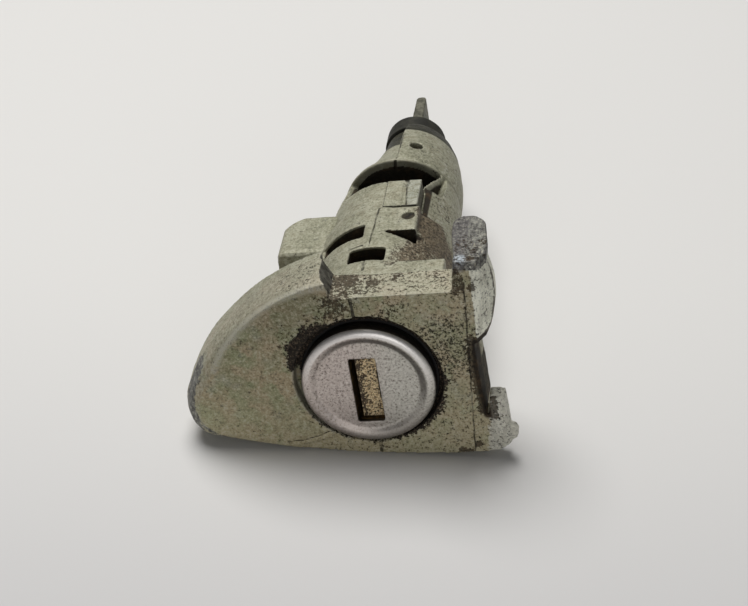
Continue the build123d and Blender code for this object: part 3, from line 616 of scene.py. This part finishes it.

# %% [markdown]
# ## Grime, painted shade, stains and pits
# Looser dirt lies on the ledge, round the crust and along the seams. It has no rule behind it, so
# it is set down in lists of patches (centre, reach, fade and strength) and strokes
# (the same along a path). Brown stains run down the right of the barrel, and pits gather on the
# plate and in the dirt.
# Two of the strokes, along the right edges of the plate and the lug, carry painted shade as well as dirt.

# %% Grime, painted shade, stains and pits
GRIME_PATCHES = [
    ((-3.2, 4.6, 15.1), 1.2, 2.4, 0.85), ((0.6, 3.6, 15.5), 0.5, 1.6, 0.8),
    ((3.9, 5.0, 15.9), 0.3, 1.4, 0.7), ((13.6, 4.2, 17.0), 0.9, 1.4, 1.0),
    ((9.6, 5.0, 16.5), 0.3, 1.2, 0.6), ((-4.4, 0, 13.8), 0.8, 3.6, 0.7),
    ((3.5, 0, 13.4), 0.3, 3.0, 0.5), ((16.0, 0, -9.9), 0.3, 0.7),
    ((15.1, 0, 17.6), 0.3, 0.9, 0.9), ((14.8, 1.0, 22.0), 0.3, 0.8, 0.9),
    ((7.3, 37.3, 7.7), 1.5, 3.0, 0.35),
]
GRIME_STROKES = [
    # painted shade and dirt along the plate's right edge
    ([(15.2, 0, 8.6), (15.3, 0, 5.5), (16.1, 0, 1.0), (17.0, 0, -3.6)], 0.3, 1.5, 0.9),
    ([(18.0, 0, -1.6), (18.2, 0, -4.6)], 0.4, 0.9, 0.8),
    ([(18.6, 0, -1.8), (19.0, 0, -4.6)], 0.2, 1.2, 0.3),
    # painted shade along the lug's right outline
    ([(17.7, 3.6, 20.8), (18.0, 2.9, 18.5), (18.4, 2.3, 14.4), (18.15, 2.4, 10.8), (17.2, 1.6, 9.3),
      (16.2, 0.6, 8.7)], 0.25, 0.6, 0.85),
    ([(13.4, 0, -11.1), (15.0, 0, -11.2)], 0.15, 0.5, 0.9),
    ([(14.2, 0, 17.8), (14.5, 0, 12.0)], 0.1, 0.7, 0.4),
    ([(12.9, 0, 19.5), (13.2, 0, 17.2)], 0.5, 1.4, 0.7),
    ([(15.0, 2.5, 22.0), (16.5, 5.5, 22.0)], 0.2, 0.8, 0.5),
    ([(12.6, 11.5, 18.0), (13.5, 5.0, 18.5)], 0.8, 1.4, 0.55),
]
STAIN_STROKES = [
    ([(6.2, 29.0, 9.4), (7.6, 25.5, 8.0), (9.4, 24.0, 6.2)], 2.0, 2.2),
    ([(6.0, 22.0, 9.6), (4.6, 18.0, 10.4)], 1.2, 2.6, 0.8),
    ([(3.0, 20.0, 10.9), (1.8, 15.0, 11.3)], 0.4, 1.6, 0.5),
]
PIT_PATCHES = [((11.8, 0, 7.5), 3.2, 5.0, 0.44), ((-11.0, 0, 6.0), 2.0, 5.0, 0.14)]
PIT_STROKES = [
    ([(1.0, 0, 13.6), (6.0, 0, 13.0)], 1.0, 2.4, 0.22),
    ([(-6.5, 0, 13.5), (-3.0, 0, 13.9)], 1.0, 2.4, 0.2),
]
ledge = (z > 14.6) & between(y, 0.6, 7)
ledge_top = ledge & between(x, -6, 15) & (y > 0.8) & (facing_up > 0.6)
grime = strongest((0.31 + 0.30 * climb(-x, -3, 2)) * ledge_top, 0.5 * halo, 0.16 * ((y < 6) & (x > -6)),
                  marks(points, GRIME_PATCHES, GRIME_STROKES))
stain = marks(points, strokes=STAIN_STROKES)
everywhere, plate_pits = np.full(len(points), 0.06), 0.16 * climb(x, -8, -2) * (y < 6)
pitting = strongest(everywhere, plate_pits, 0.25 * halo, 0.22 * ledge,
                    marks(points, PIT_PATCHES, PIT_STROKES))
pitting = np.where(y > HEAD_END_Y, np.where(keyed_x > 3, 0.14, 0.05), pitting)
ear = (x < -11.5) & (y > 20)
pitting = np.where(ear, 0.01, pitting)
print(len(GRIME_PATCHES) + len(GRIME_STROKES), "marks of grime and", len(STAIN_STROKES), "stains")

# %% [markdown]
# ## Worn places, painted light and painted shade
# The coating is rubbed off where the lock met other things: the tip of the wing and the top of
# the upper lug, which is dusky on its left and has a bluish spot at the front. The flanks that
# face right are pale grey, made paler still as painted light. The ridge gets a painted highlight,
# the bevels painted light, the ledge's left end dirt and painted shade, and the end of the nose is
# as dark as the collar behind it. Wear could be found from the curve of the surface alone, but
# then every edge would shine alike. So we name the places, and leave to the curve only a glint on
# the edges and painted shade in the inner corners. Then all the layers are painted.

# %% Worn places, painted light and painted shade
LUG_FROM_X = 10
WING_TIP = [(-25.6, 2.4, 0.8), (-27.0, 1.6, -2.3), (-27.4, 1.2, -5.0), (-27.0, 0.9, -7.4),
            (-26.3, 1.0, -9.6)]
WING_FOOT = [(-25.0, 0, -9.2), (-23.0, 0, -10.6), (-19.0, 0, -11.4)]
WING_RIDGE = [(-4.0, 0.0, 17.4), (-8.5, 0.0, 16.3), (-13.1, 0.0, 14.2), (-17.2, 0, 10.6), (-21.3, 0, 5.1),
              (-22.7, 0, 1.5)]
LEDGE_CORNER = [(-5.4, 0.4, 17.4), (-5.6, 6.5, 17.3)]
bare = strongest(stroke(points, WING_TIP, 1.0, 1.1), stroke(points, WING_FOOT, 0.3, 0.7, 0.6),
                 1.0 * ((z > 20.6) & (x > LUG_FROM_X)))
# the right-facing flanks: their own grey, made paler as painted light
toe_side = climb(x, 16.6, 18.6) * ((y < 4) & (z < -1))
lug_side = climb(x + 0.09 * (z - 17), 14.9, 15.6) * between(z, 8.4, 21.3)
grey = strongest(toe_side, lug_side)
blue = patch(points, (13.5, 0.9, 21.9), 0.5, 0.8)
dusk = climb(-x, -14.5, -13.7) * ((z > 20.2) & (x > LUG_FROM_X))
collar = climb(y, 59.2, 59.9)
# painted light on the wing's outer band and the ledge's top, which face away from the front
wing_bevel = (1 - climb(-facing_back, 0.72, 0.93)) * ((y < 8.2) & (x < -3))
ledge_bevel = (z > 14.4) & between(x, -5.4, 14.9) & (facing_up > 0.5) & (y < 7.4)
bevel = strongest(wing_bevel, ledge_bevel)
# painted highlight along the wing's ridge
ridge = stroke(points, WING_RIDGE, 0.25, 0.6)
# dirt and painted shade on the wall at the ledge's left end, which faces right
corner_side = between(x, -7.2, -4.6) & between(y, 0.6, 7.4) & (z > 15.2) & (facing_right > 0.35)
pillar = strongest(stroke(points, LEDGE_CORNER, 0.6, 0.7) * (facing_right > 0.3), corner_side)
paint(mesh, joint=joint, crust=crust, soot=soot, grime=grime, stain=stain, grey=grey,
      pitting=pitting, bare=bare, ridge=ridge, bevel=bevel, pillar=pillar, blue=blue,
      collar=collar, dusk=dusk)
settle(casting, "housing", "housing")
painted = [layer.name for layer in casting.data.attributes if layer.data_type == "FLOAT"]
print("layers painted:", ", ".join(sorted(painted)))

# %% [markdown]
# ## The retaining block
# The block is let into the top of the barrel and is cast in the same zinc. It could share the
# casting's skin, but the seam round it would melt away, so it stays a piece of its own. Its
# scored line is narrow and needs a finer skin. Its sides stand in the slot and get painted shade,
# so only its top stays light, and a dark line runs along its front and left edges.

# %% Retaining block
BLOCK_FRONT_Y = 31.1
SCORE_DEPTH = 0.08
block = skin_of("retaining_block", "retaining_block_skin", 0.12, 2)
roughen(block, 1.0, 0.05)
mesh = apply_modifiers(block)
points, normals = points_of(mesh), normals_of(mesh)
x, y, z = points.T
keyed_x, keyed_z = keyed_across(x, z), keyed_up(x, z)
on_top = climb(keyed_z, 10.9, 11.05)
score = (stroke(points, [(1.98, 38.6, 11.4), (2.05, 36.9, 11.4)], 0.2, 0.25)
         + stroke(points, [(2.1, 36.4, 11.4), (2.5, 31.2, 11.45)], 0.06, 0.14, 0.7))
rim = 1 - climb(np.minimum(y - BLOCK_FRONT_Y, keyed_x - keyed_x.min()), 0.05, 0.22)
push(mesh, points, normals, -SCORE_DEPTH * np.clip(score, 0, 1) * on_top)
# painted shade on the block's sides, which stand in the slot
paint(mesh, joint=strongest(score * on_top, rim), soot=0.55 * (1 - on_top),
      blue=0.22 * climb(x + 0.075 * (y - 33.7), 2.2, 2.5) * on_top, pitting=np.full(len(points), 0.04))
settle(block, "housing", "retaining_block")
print("block's top at keyed height", round(float(keyed_z.max()), 2), "mm")

# %% [markdown]
# ## Old die-cast zinc
# The body is cast zinc that once had an olive-yellow coating. Age has left it mottled: greenish
# on the wing, browner near the cap, clean and pale on the barrel, with fine black pits all over.
# One noise would be enough for new paint. Old metal has marks of every size, so it takes several.
# We start with the fields that everything else is cut from, from slow drifts to fine grit, and
# with the plain metal: olive on the head, pale on the barrel and pale grey where it faces right,
# made paler still as painted light.

# %% Zinc, the plain metal
zinc = Finish("zinc_casting")
head = zinc.y.fall(5.6, 7.2)
slow = zinc.clouds(6.0, 2.0, detail=3)
drift = zinc.clouds(4.0, 21.0, detail=3)
middle = zinc.clouds(1.8, 9.0, detail=5, rough=0.6)
fine = zinc.clouds(0.60, 5.0, detail=5, rough=0.8)
grit = zinc.clouds(0.30, 13.0, detail=3, rough=0.7)
fleck = (fine * 0.55 + zinc.clouds(0.35, 27.0, detail=3, rough=0.7) * 0.45).rise(0.36, 0.64)
splash = (middle * 0.5 + fine * 0.5).rise(0.36, 0.64)
upright = zinc.clouds(0.9, 41.0, detail=4, rough=0.7, stretch=(1.0, 1.0, 0.3)).rise(0.4, 0.6)
olive = zinc.coats(
    zinc.blend(slow.rise(0.42, 0.58), (144, 141, 110), (162, 148, 119)),
    # greener drifts, browner blotches and grey ones
    (drift.rise(0.50, 0.62) * 0.8, (138, 143, 108)),
    (middle.rise(0.5, 0.66) * 0.25, (142, 126, 100)),
    (zinc.clouds(2.6, 51.0).rise(0.55, 0.68) * 0.35, (164, 164, 150)),
    # painted light low down and painted shade at the upper left; paler to the right
    (zinc.z.fall(-14, 1) * 0.6, (192, 184, 150)),
    (zinc.z.rise(2, 15) * zinc.x.fall(-9, -3) * 0.45, (112, 104, 80)),
    (zinc.x.rise(-4, 8) * 0.3, (190, 182, 152)),
    # painted light on the bevels and the ledge's top
    (zinc.layer("bevel") * 0.6, (176, 173, 156)))
pale = zinc.coats(
    zinc.blend(middle.rise(0.42, 0.64), (168, 167, 146), (152, 149, 127)),
    (slow.rise(0.5, 0.62) * 0.7, (148, 148, 126)))
# the right-facing flanks, pale grey and made paler as painted light
shade = zinc.coats(
    zinc.blend(zinc.z.rise(6, 10), (216, 214, 202), (240, 240, 224)),
    (upright * 0.35, (136, 133, 114)))
weathered = (zinc.layer("grey") + (splash - 0.5) * 0.5).rise(0.3, 0.7)
plain = zinc.blend(weathered, zinc.blend(head, pale, olive), shade)
print("plain zinc mixed")

# %% [markdown]
# Over the plain metal go wear, specks and a painted highlight, and over those the dirt and the
# painted shade. A painted layer says how much of a place is covered, and a field says where in
# that place: the metal is covered where the field is below the layer's value. So the edge of a
# stain is as ragged as the field, and a light stain is a scatter of specks and not a thin wash.

# %% Zinc, wear and dirt
def cover(share, pattern, soft=0.07):
    """1 over that share of the surface, where the pattern is lowest."""
    return (share - pattern).rise(-soft, soft)


metal = zinc.clouds(0.8, 61.0, detail=4, rough=0.7, stretch=(1.8, 0.5, 1.0))
streak = zinc.clouds(1.0, 71.0, detail=4, rough=0.7, stretch=(1.0, 1.0, 0.35)).rise(0.4, 0.62)
bare = cover(zinc.layer("bare"), splash, 0.15)
stain = cover(zinc.layer("stain") * 1.05, fleck * 0.6 + splash * 0.4, 0.16)
grime = cover(zinc.layer("grime"), fleck * 0.65 + splash * 0.35, 0.1)
pits = cover(zinc.layer("pitting") + (slow - 0.5) * 0.25, (grit * 0.6 + fine * 0.4).rise(0.32, 0.66), 0.05)
nose_end = (zinc.layer("collar") + (splash - 0.5) * 0.3).rise(0.4, 0.6)
joint = zinc.layer("joint").rise(0.25, 0.7) * (middle + 0.35).rise(0.6, 0.9)
soot = (zinc.layer("soot") + (fleck - 0.5) * 0.25).rise(0.2, 0.8)
crust = cover(zinc.layer("crust") * 1.25 - 0.12, fleck * 0.5 + splash * 0.5, 0.06)
base = zinc.coats(
    plain,
    # painted highlight along the ridge, and rubbed edges
    (zinc.layer("ridge") * cover(0.6, fleck) * 0.6, (200, 198, 184)),
    (zinc.edge.rise(0.52, 0.60) * cover(0.7, fleck) * 0.6, (206, 204, 190)),
    # bare metal, with the dusky and the bluish part of the lug's top
    (bare, zinc.blend(metal.rise(0.42, 0.66), (84, 83, 82), (146, 146, 138))),
    (zinc.layer("dusk") * 0.7, zinc.blend(metal, (78, 74, 76), (104, 102, 102))),
    (zinc.layer("blue") * fleck.rise(0.2, 0.6), (172, 182, 190)),
    # light specks, dark specks and painted shade in the inner corners
    ((fleck - 0.5).rise(0.0, 0.5) * 0.36, (214, 210, 192)),
    ((0.5 - fleck).rise(0.0, 0.5) * 0.42, (66, 58, 42)),
    (zinc.edge.fall(0.40, 0.48) * 0.6, (46, 40, 30)),
    # the painted dirt, and the painted shade that some layers carry
    (stain * 0.85, zinc.blend(fleck.rise(0.25, 0.75), (50, 37, 27), (124, 108, 86))),
    # grime, and painted shade along the right edges
    (grime * 0.85, zinc.blend(grit.rise(0.4, 0.6), (44, 36, 26), (72, 58, 42))),
    (pits * 0.9, (34, 29, 20)),
    (nose_end * 0.95, zinc.blend(middle.rise(0.4, 0.64), (32, 32, 24), (60, 59, 47))),
    (joint * 0.85, (34, 30, 22)),
    # the pillar at the ledge's left end: dirt and painted shade
    (zinc.layer("pillar") * 0.85, zinc.blend(streak, (26, 24, 22), (104, 102, 96))),
    # painted shade in the hollows
    (soot * 0.96, zinc.blend(middle.rise(0.45, 0.7), (32, 25, 16), (66, 51, 33))),
    (crust * 0.97, zinc.blend(grit.rise(0.5, 0.72), (32, 25, 18), (116, 100, 82))))
dull = crust.most(soot).most(grime)
zinc.set(Base_Color=base, Metallic=0.3 * (1.0 - dull), Roughness=0.45 + 0.35 * dull + 0.2 * fine,
         Specular_IOR_Level=0.35)
zinc.bump(fine * 0.9 + grit * 0.5 + pits * -0.7 + joint * -0.5 + crust * grit * 2.0, 0.11)
wear(casting, zinc)
wear(block, zinc)
print("zinc finish on the housing and the block")

# %% [markdown]
# ## The pressed cap
# The cap is drawn from thin stainless sheet: a flat dish with the key slot punched through it,
# a rolled rim that stands half a millimetre proud, and a skirt that goes back round the plug.
# A skin like the casting's would make smooth thin sheet lumpy, so the cap is laid point by point.
# We lay rings of points from the slot's outline out to the rim. A slot outline and a circle have
# different shapes, so each ring mixes the two, and the mix moves towards the circle ring by ring.

# %% Cap mesh
SPOKES = 288
DISH_RINGS = 12
DISH_R, DISH_Y = 7.3, -0.10
INNER_R, INNER_Y = 9.3, 0.5
SLOT_CENTRE = Vector((-0.4, -0.9))
SLOT_HALF_WIDTH, SLOT_HALF_HEIGHT, SLOT_CORNER, SLOT_LIP = 2.0, 5.6, 0.35, 0.12
FARTHEST, HALVINGS = 8.0, 24
CAP_PROFILE = [(DISH_R, DISH_Y), (7.55, -0.115), (7.75, -0.17), (7.95, -0.27), (8.2, -0.42), (8.45, -0.53),
               (8.7, -0.59), (8.95, -0.60), (9.2, -0.56), (9.45, -0.46), (9.65, -0.31), (9.8, -0.12),
               (9.88, 0.1), (9.9, 0.4), (9.9, 1.75), (9.82, 1.8), (9.4, 1.8), (9.32, 1.7), (9.32, 0.6)]
turns = [2 * math.pi * i / SPOKES for i in range(SPOKES)]
circle = [Vector((math.cos(turn), math.sin(turn))) for turn in turns]


def slot_outline(grown):
    """Where each spoke leaves the slot, a box with rounded corners, found by halving its reach."""
    half_wide, half_high = SLOT_HALF_WIDTH + grown, SLOT_HALF_HEIGHT + grown
    ring = []
    for way in circle:
        low, high = 0.0, FARTHEST
        for _ in range(HALVINGS):
            reach = (low + high) / 2
            dx = abs(way.x * reach) - half_wide + SLOT_CORNER
            dz = abs(way.y * reach) - half_high + SLOT_CORNER
            outside = math.hypot(max(dx, 0), max(dz, 0)) + min(max(dx, dz), 0) - SLOT_CORNER
            low, high = (reach, high) if outside < 0 else (low, reach)
        ring.append(way * low + SLOT_CENTRE)
    return ring


def mixed_ring(ring, radius, share):
    """A ring that is partly the given one and partly a circle."""
    return [p * (1 - share) + c * radius * share for p, c in zip(ring, circle)]


edge, lip = slot_outline(0.0), slot_outline(SLOT_LIP)
rings = [(edge, INNER_Y), (edge, -0.02)]
rings += [(mixed_ring(lip, DISH_R, step / DISH_RINGS), DISH_Y) for step in range(DISH_RINGS)]
rings += [([c * radius for c in circle], along) for radius, along in CAP_PROFILE]
rings += [(mixed_ring(edge, INNER_R, 0.65), INNER_Y)]
lean = Matrix.Rotation(-LEAN, 4, "Y")
places = [lean @ Vector((p.x, along, p.y)) for ring, along in rings for p in ring]
faces = []
for ring in range(len(rings)):
    following = (ring + 1) % len(rings)
    for i in range(SPOKES):
        j = (i + 1) % SPOKES
        faces.append((ring * SPOKES + i, ring * SPOKES + j, following * SPOKES + j, following * SPOKES + i))
mesh = bpy.data.meshes.new("cap_skin")
mesh.from_pydata(places, [], faces)
cap = bpy.data.objects.new("cap_skin", mesh)
scene.collection.objects.link(cap)
settle(cap, "plug", "face_cap")
print("cap of", len(faces), "faces")

# %% [markdown]
# The cap's metal is satin, a little warm on one side, with fine dark specks of old dirt that
# are strongest from the slot to the left. Towards the top and the upper right the foot of the rim
# gets painted shade, the top of the rim a painted highlight, and its lower half a little painted
# shade. Reflections alone would give such rings of tone in a real room. Here the room is one plain
# grey, so the distance from the axis draws them. The slot's walls and the skirt behind the face
# get painted shade too.

# %% Cap finish
satin = Finish("stainless_cap")
from_axis = (satin.x * satin.x + satin.z * satin.z).root()
fine = satin.clouds(0.38, 3.0, detail=4, rough=0.75)
middle = satin.clouds(1.6, 7.0, detail=3)
specks = (satin.spots(0.55, 3.0) - satin.clouds(2.4, 31.0) * 0.40).fall(-0.12, 0.0)
rim_foot = from_axis.band(7.55, 8.6, 0.2) * (satin.x * 0.6 + satin.z).rise(-1.0, 6.0)
steel = satin.coats(
    satin.blend(satin.x.rise(-4, 5), (198, 186, 179), (196, 193, 184)),
    ((fine - 0.5).rise(0.0, 0.2) * 0.6, (232, 228, 222)),
    ((0.5 - fine).rise(0.0, 0.16) * 0.8, (92, 82, 74)),
    (satin.z.fall(-9, -2) * 0.4, (136, 128, 122)),
    (specks * (satin.x.fall(-1, 5) * 0.5 + 0.2), (60, 54, 48)),
    # painted shade at the foot of the rim, towards the top and the upper right
    (rim_foot * (middle * 0.4 + 0.55), (84, 78, 74)),
    # painted highlight on the top of the rim
    (from_axis.band(8.8, 9.9, 0.15) * satin.z.rise(-2, 6) * 0.8, (244, 240, 236)),
    # painted shade on the lower half of the rim
    (from_axis.rise(7.4, 8.0) * satin.z.fall(-7, 0) * 0.45, (146, 138, 131)),
    # painted shade on the slot's walls and the skirt behind the face
    (satin.y.rise(-0.02, 0.15) * 0.9, (40, 34, 28)))
satin.set(Base_Color=steel, Metallic=0.8, Roughness=0.30 + 0.15 * fine)
satin.bump(fine + satin.clouds(0.18, 23.0) * 0.4, 0.035)
wear(cap, satin)
print("satin cap")

# %% [markdown]
# ## What shows through the slot
# A sprung shutter closes the keyway. Years of keys have rubbed its plating to a speckled
# gold-brown. Down its left side, where the slot's edge shadows it, more dark specks are painted
# as painted shade. The plain solid would do if it were hidden, but it fills the slot, so it gets
# a rough skin and a finish of its own.

# %% Shutter
shutter = skin_of("shutter", "shutter_skin", 0.1, 2)
roughen(shutter, 0.6, 0.05)
apply_modifiers(shutter)
settle(shutter, "shutter", "shutter")
worn = Finish("worn_shutter")
across = keyed_across(worn.x, worn.z)
fine = worn.clouds(0.42, 2.0, detail=4, rough=0.8)
grit = worn.clouds(0.22, 12.0, detail=2)
dark = worn.clouds(1.3, 8.0, detail=3, rough=0.7) * 0.25 + fine * 0.5
# painted shade: more dark specks down the left side, in the slot edge's shadow
dark = dark + worn.clouds(0.3, 17.0, detail=2) * 0.4 + across.fall(-1.6, -0.4) * 0.07
gold = worn.coats(
    worn.blend(grit.rise(0.35, 0.6), (158, 128, 88), (236, 216, 174)),
    (dark.rise(0.57, 0.625) * 0.92, (42, 28, 18)))
worn.set(Base_Color=gold, Metallic=0.3, Roughness=0.6)
worn.bump(fine + grit, 0.06)
wear(shutter, worn)
print("shutter worn")

# %% [markdown]
# ## Collar, tail and plain metals
# The collar behind the barrel is a dark pressed ring, and the tail is a forged blade. Their edges
# are round on the real thing, so both get softened skins too. Everything else is hidden or shows
# little, so its solid gets a plain metal: two shades that drift into each other, on most of them
# with darker specks. The stop pin and the tail pin only show their ends, in dirty holes.
# The brass of the plug and the wafers is painted dark, for grease and for the shade of the bore.

# %% Collar, tail and plain metals
collar = skin_of("tail_boot", "collar_skin", 0.12, 2)
roughen(collar, 1.2, 0.08)
apply_modifiers(collar)
settle(collar, "tail", "tail_boot")
blade = skin_of("tail_shaft", "tail_skin", 0.16, 7)
roughen(blade, 1.0, 0.08)
apply_modifiers(blade)
settle(blade, "tail", "tail_shaft")


def plain_metal(name, dark, light, size, roughness, metallic=1.0, specks=0.0):
    made = Finish(name)
    cloud = made.clouds(size, 6.0, detail=4, rough=0.7)
    grain = made.clouds(size / 5, 15.0, detail=3, rough=0.7)
    shades = made.coats(made.blend(cloud.rise(0.38, 0.62), dark, light),
                        ((0.5 - grain).rise(0.0, 0.2) * specks, (24, 20, 15)))
    made.set(Base_Color=shades, Metallic=metallic, Roughness=roughness + 0.2 * grain)
    made.bump(grain, 0.03)
    return made


metals = {
    "steel": plain_metal("plated_steel", (84, 78, 70), (148, 142, 132), 1.6, 0.4, 0.7, 0.6),
    "spring": plain_metal("spring_steel", (120, 120, 120), (160, 160, 160), 1.0, 0.3),
    # dark brass: grease, and painted shade for the plug and wafers inside the bore
    "brass": plain_metal("brass_plug", (58, 44, 26), (112, 90, 54), 2.0, 0.5, 0.6, 0.8),
    "tail": plain_metal("tail_metal", (84, 83, 71), (120, 118, 103), 2.0, 0.5, 0.3, 0.6),
    "dark": plain_metal("dark_collar", (28, 28, 20), (52, 51, 41), 2.2, 0.65, 0.0, 0.6),
    "seal": plain_metal("black_seal", (18, 17, 16), (34, 31, 28), 1.5, 0.7, 0.0),
    "pin": plain_metal("dirty_pin", (26, 22, 14), (66, 60, 44), 0.8, 0.8, 0.0, 0.8),
}
SKINNED = ("housing", "retaining_block", "face_cap", "shutter", "tail_boot", "tail_shaft")
METAL_BY_NAME = {"spring": "spring", "wafer": "brass", "plug": "brass", "seal": "seal", "stop_pin": "pin",
                 "tail_pin": "pin"}
for name, piece in nodes.items():
    if name not in SKINNED:
        wear(piece, metals[next((metal for part, metal in METAL_BY_NAME.items() if part in name), "steel")])
wear(collar, metals["dark"])
wear(blade, metals["tail"])
print(len(metals), "metals")

# %% [markdown]
# ## Springs that give
# The solids of the springs are rigid, but a real spring shortens when its wafer or clutch comes
# back on it. So each is wound anew as a coil. A screw modifier could make one too, but its rise
# is the same all along. Placing the points ourselves lets the end turns lie almost flat: the
# rise swells and fades along the wire, as a sine wave does, and is least at both ends.

# %% A wound coil
END_RISE = 1.03  # of an end turn, in thicknesses of the wire


def wound_coil(name, foot, top, reach, wire, turns, around=24, sides=8):
    """A compression spring from foot to top, in metres; reach is its outer radius."""
    axis = (top - foot).normalized()
    side = axis.orthogonal().normalized()
    other = axis.cross(side)
    length, radius = (top - foot).length - wire, reach - wire / 2
    places, faces = [], []
    steps = round(turns * around)
    flat = max(0.0, 1 - END_RISE * wire * turns / length)
    for step in range(steps + 1):
        share = step / steps
        climbed = share - flat * math.sin(2 * math.pi * share) / (2 * math.pi)
        turn = 2 * math.pi * turns * share
        out = side * math.cos(turn) + other * math.sin(turn)
        middle = foot + axis * (wire / 2 + length * climbed) + out * radius
        for corner in range(sides):
            around_wire = 2 * math.pi * corner / sides
            places.append(middle + (out * math.cos(around_wire) + axis * math.sin(around_wire)) * wire / 2)
    for step in range(steps):
        for corner in range(sides):
            a, b = step * sides + corner, step * sides + (corner + 1) % sides
            faces.append((a, b, b + sides, a + sides))
    faces += [tuple(range(sides)), tuple(steps * sides + c for c in reversed(range(sides)))]
    mesh = bpy.data.meshes.new(name)
    mesh.from_pydata(places, [], faces)
    mesh.shade_smooth()
    coil = bpy.data.objects.new(name, mesh)
    scene.collection.objects.link(coil)
    return coil


print("coils have end turns that rise", END_RISE, "wires")

# %% [markdown]
# Each coil fills the space of its solid. For each we name the way it points, the wire's thickness
# in millimetres, its turns, the body it sits on and the body that pushes it. A blend ties the
# foot of the coil to the first and the top to the second, and the turns between them share the
# travel. The shutter's spring pushes on nothing that slides, so it only rides the plug.

# %% Springs
TO_KEY = Vector((0, -1, 0))
UP = Vector((-math.sin(LEAN), 0, math.cos(LEAN)))
SPRINGS = {
    "clutch_spring": (TO_KEY, 0.7, 2.5, "tail", "clutch"),
    "shutter_spring": (UP, 0.24, 16, "plug", None),
}
for number in range(1, 9):
    SPRINGS[f"wafer_spring_{number}"] = (UP, 0.14, 6, "plug", f"wafer_{number}")
for node, (axis, wire, turns, seat, pusher) in SPRINGS.items():
    low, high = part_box(node)
    middle = (low + high) / 2
    arms = [corner.co - middle for corner in nodes[node].data.vertices]
    along = [arm.dot(axis) for arm in arms]
    reach = max((arm - axis * arm.dot(axis)).length for arm in arms)
    foot, top = middle + axis * min(along), middle + axis * max(along)
    coil = wound_coil(node + "_coil", foot, top, reach, wire * MM, turns)
    wear(coil, metals["spring"])
    if pusher:
        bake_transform(coil, seat, pusher, start=foot, end=top)
    else:
        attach(coil, seat)
    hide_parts(node)
    room = round((top - foot).length / MM, 2)
    print(node, "has", room, "mm of room and an outer radius of", round(reach / MM, 2), "mm")

# %% [markdown]
# ## Sizes
# The dressed lock has to keep the size of the solids, so we print both boxes side by side.

# %% Finish the scene
def in_mm(size):
    return [round(length / MM, 2) for length in size]


low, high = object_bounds()
print("the dressed lock measures", in_mm(high - low), "mm and its solids", in_mm(cad_high - cad_low))
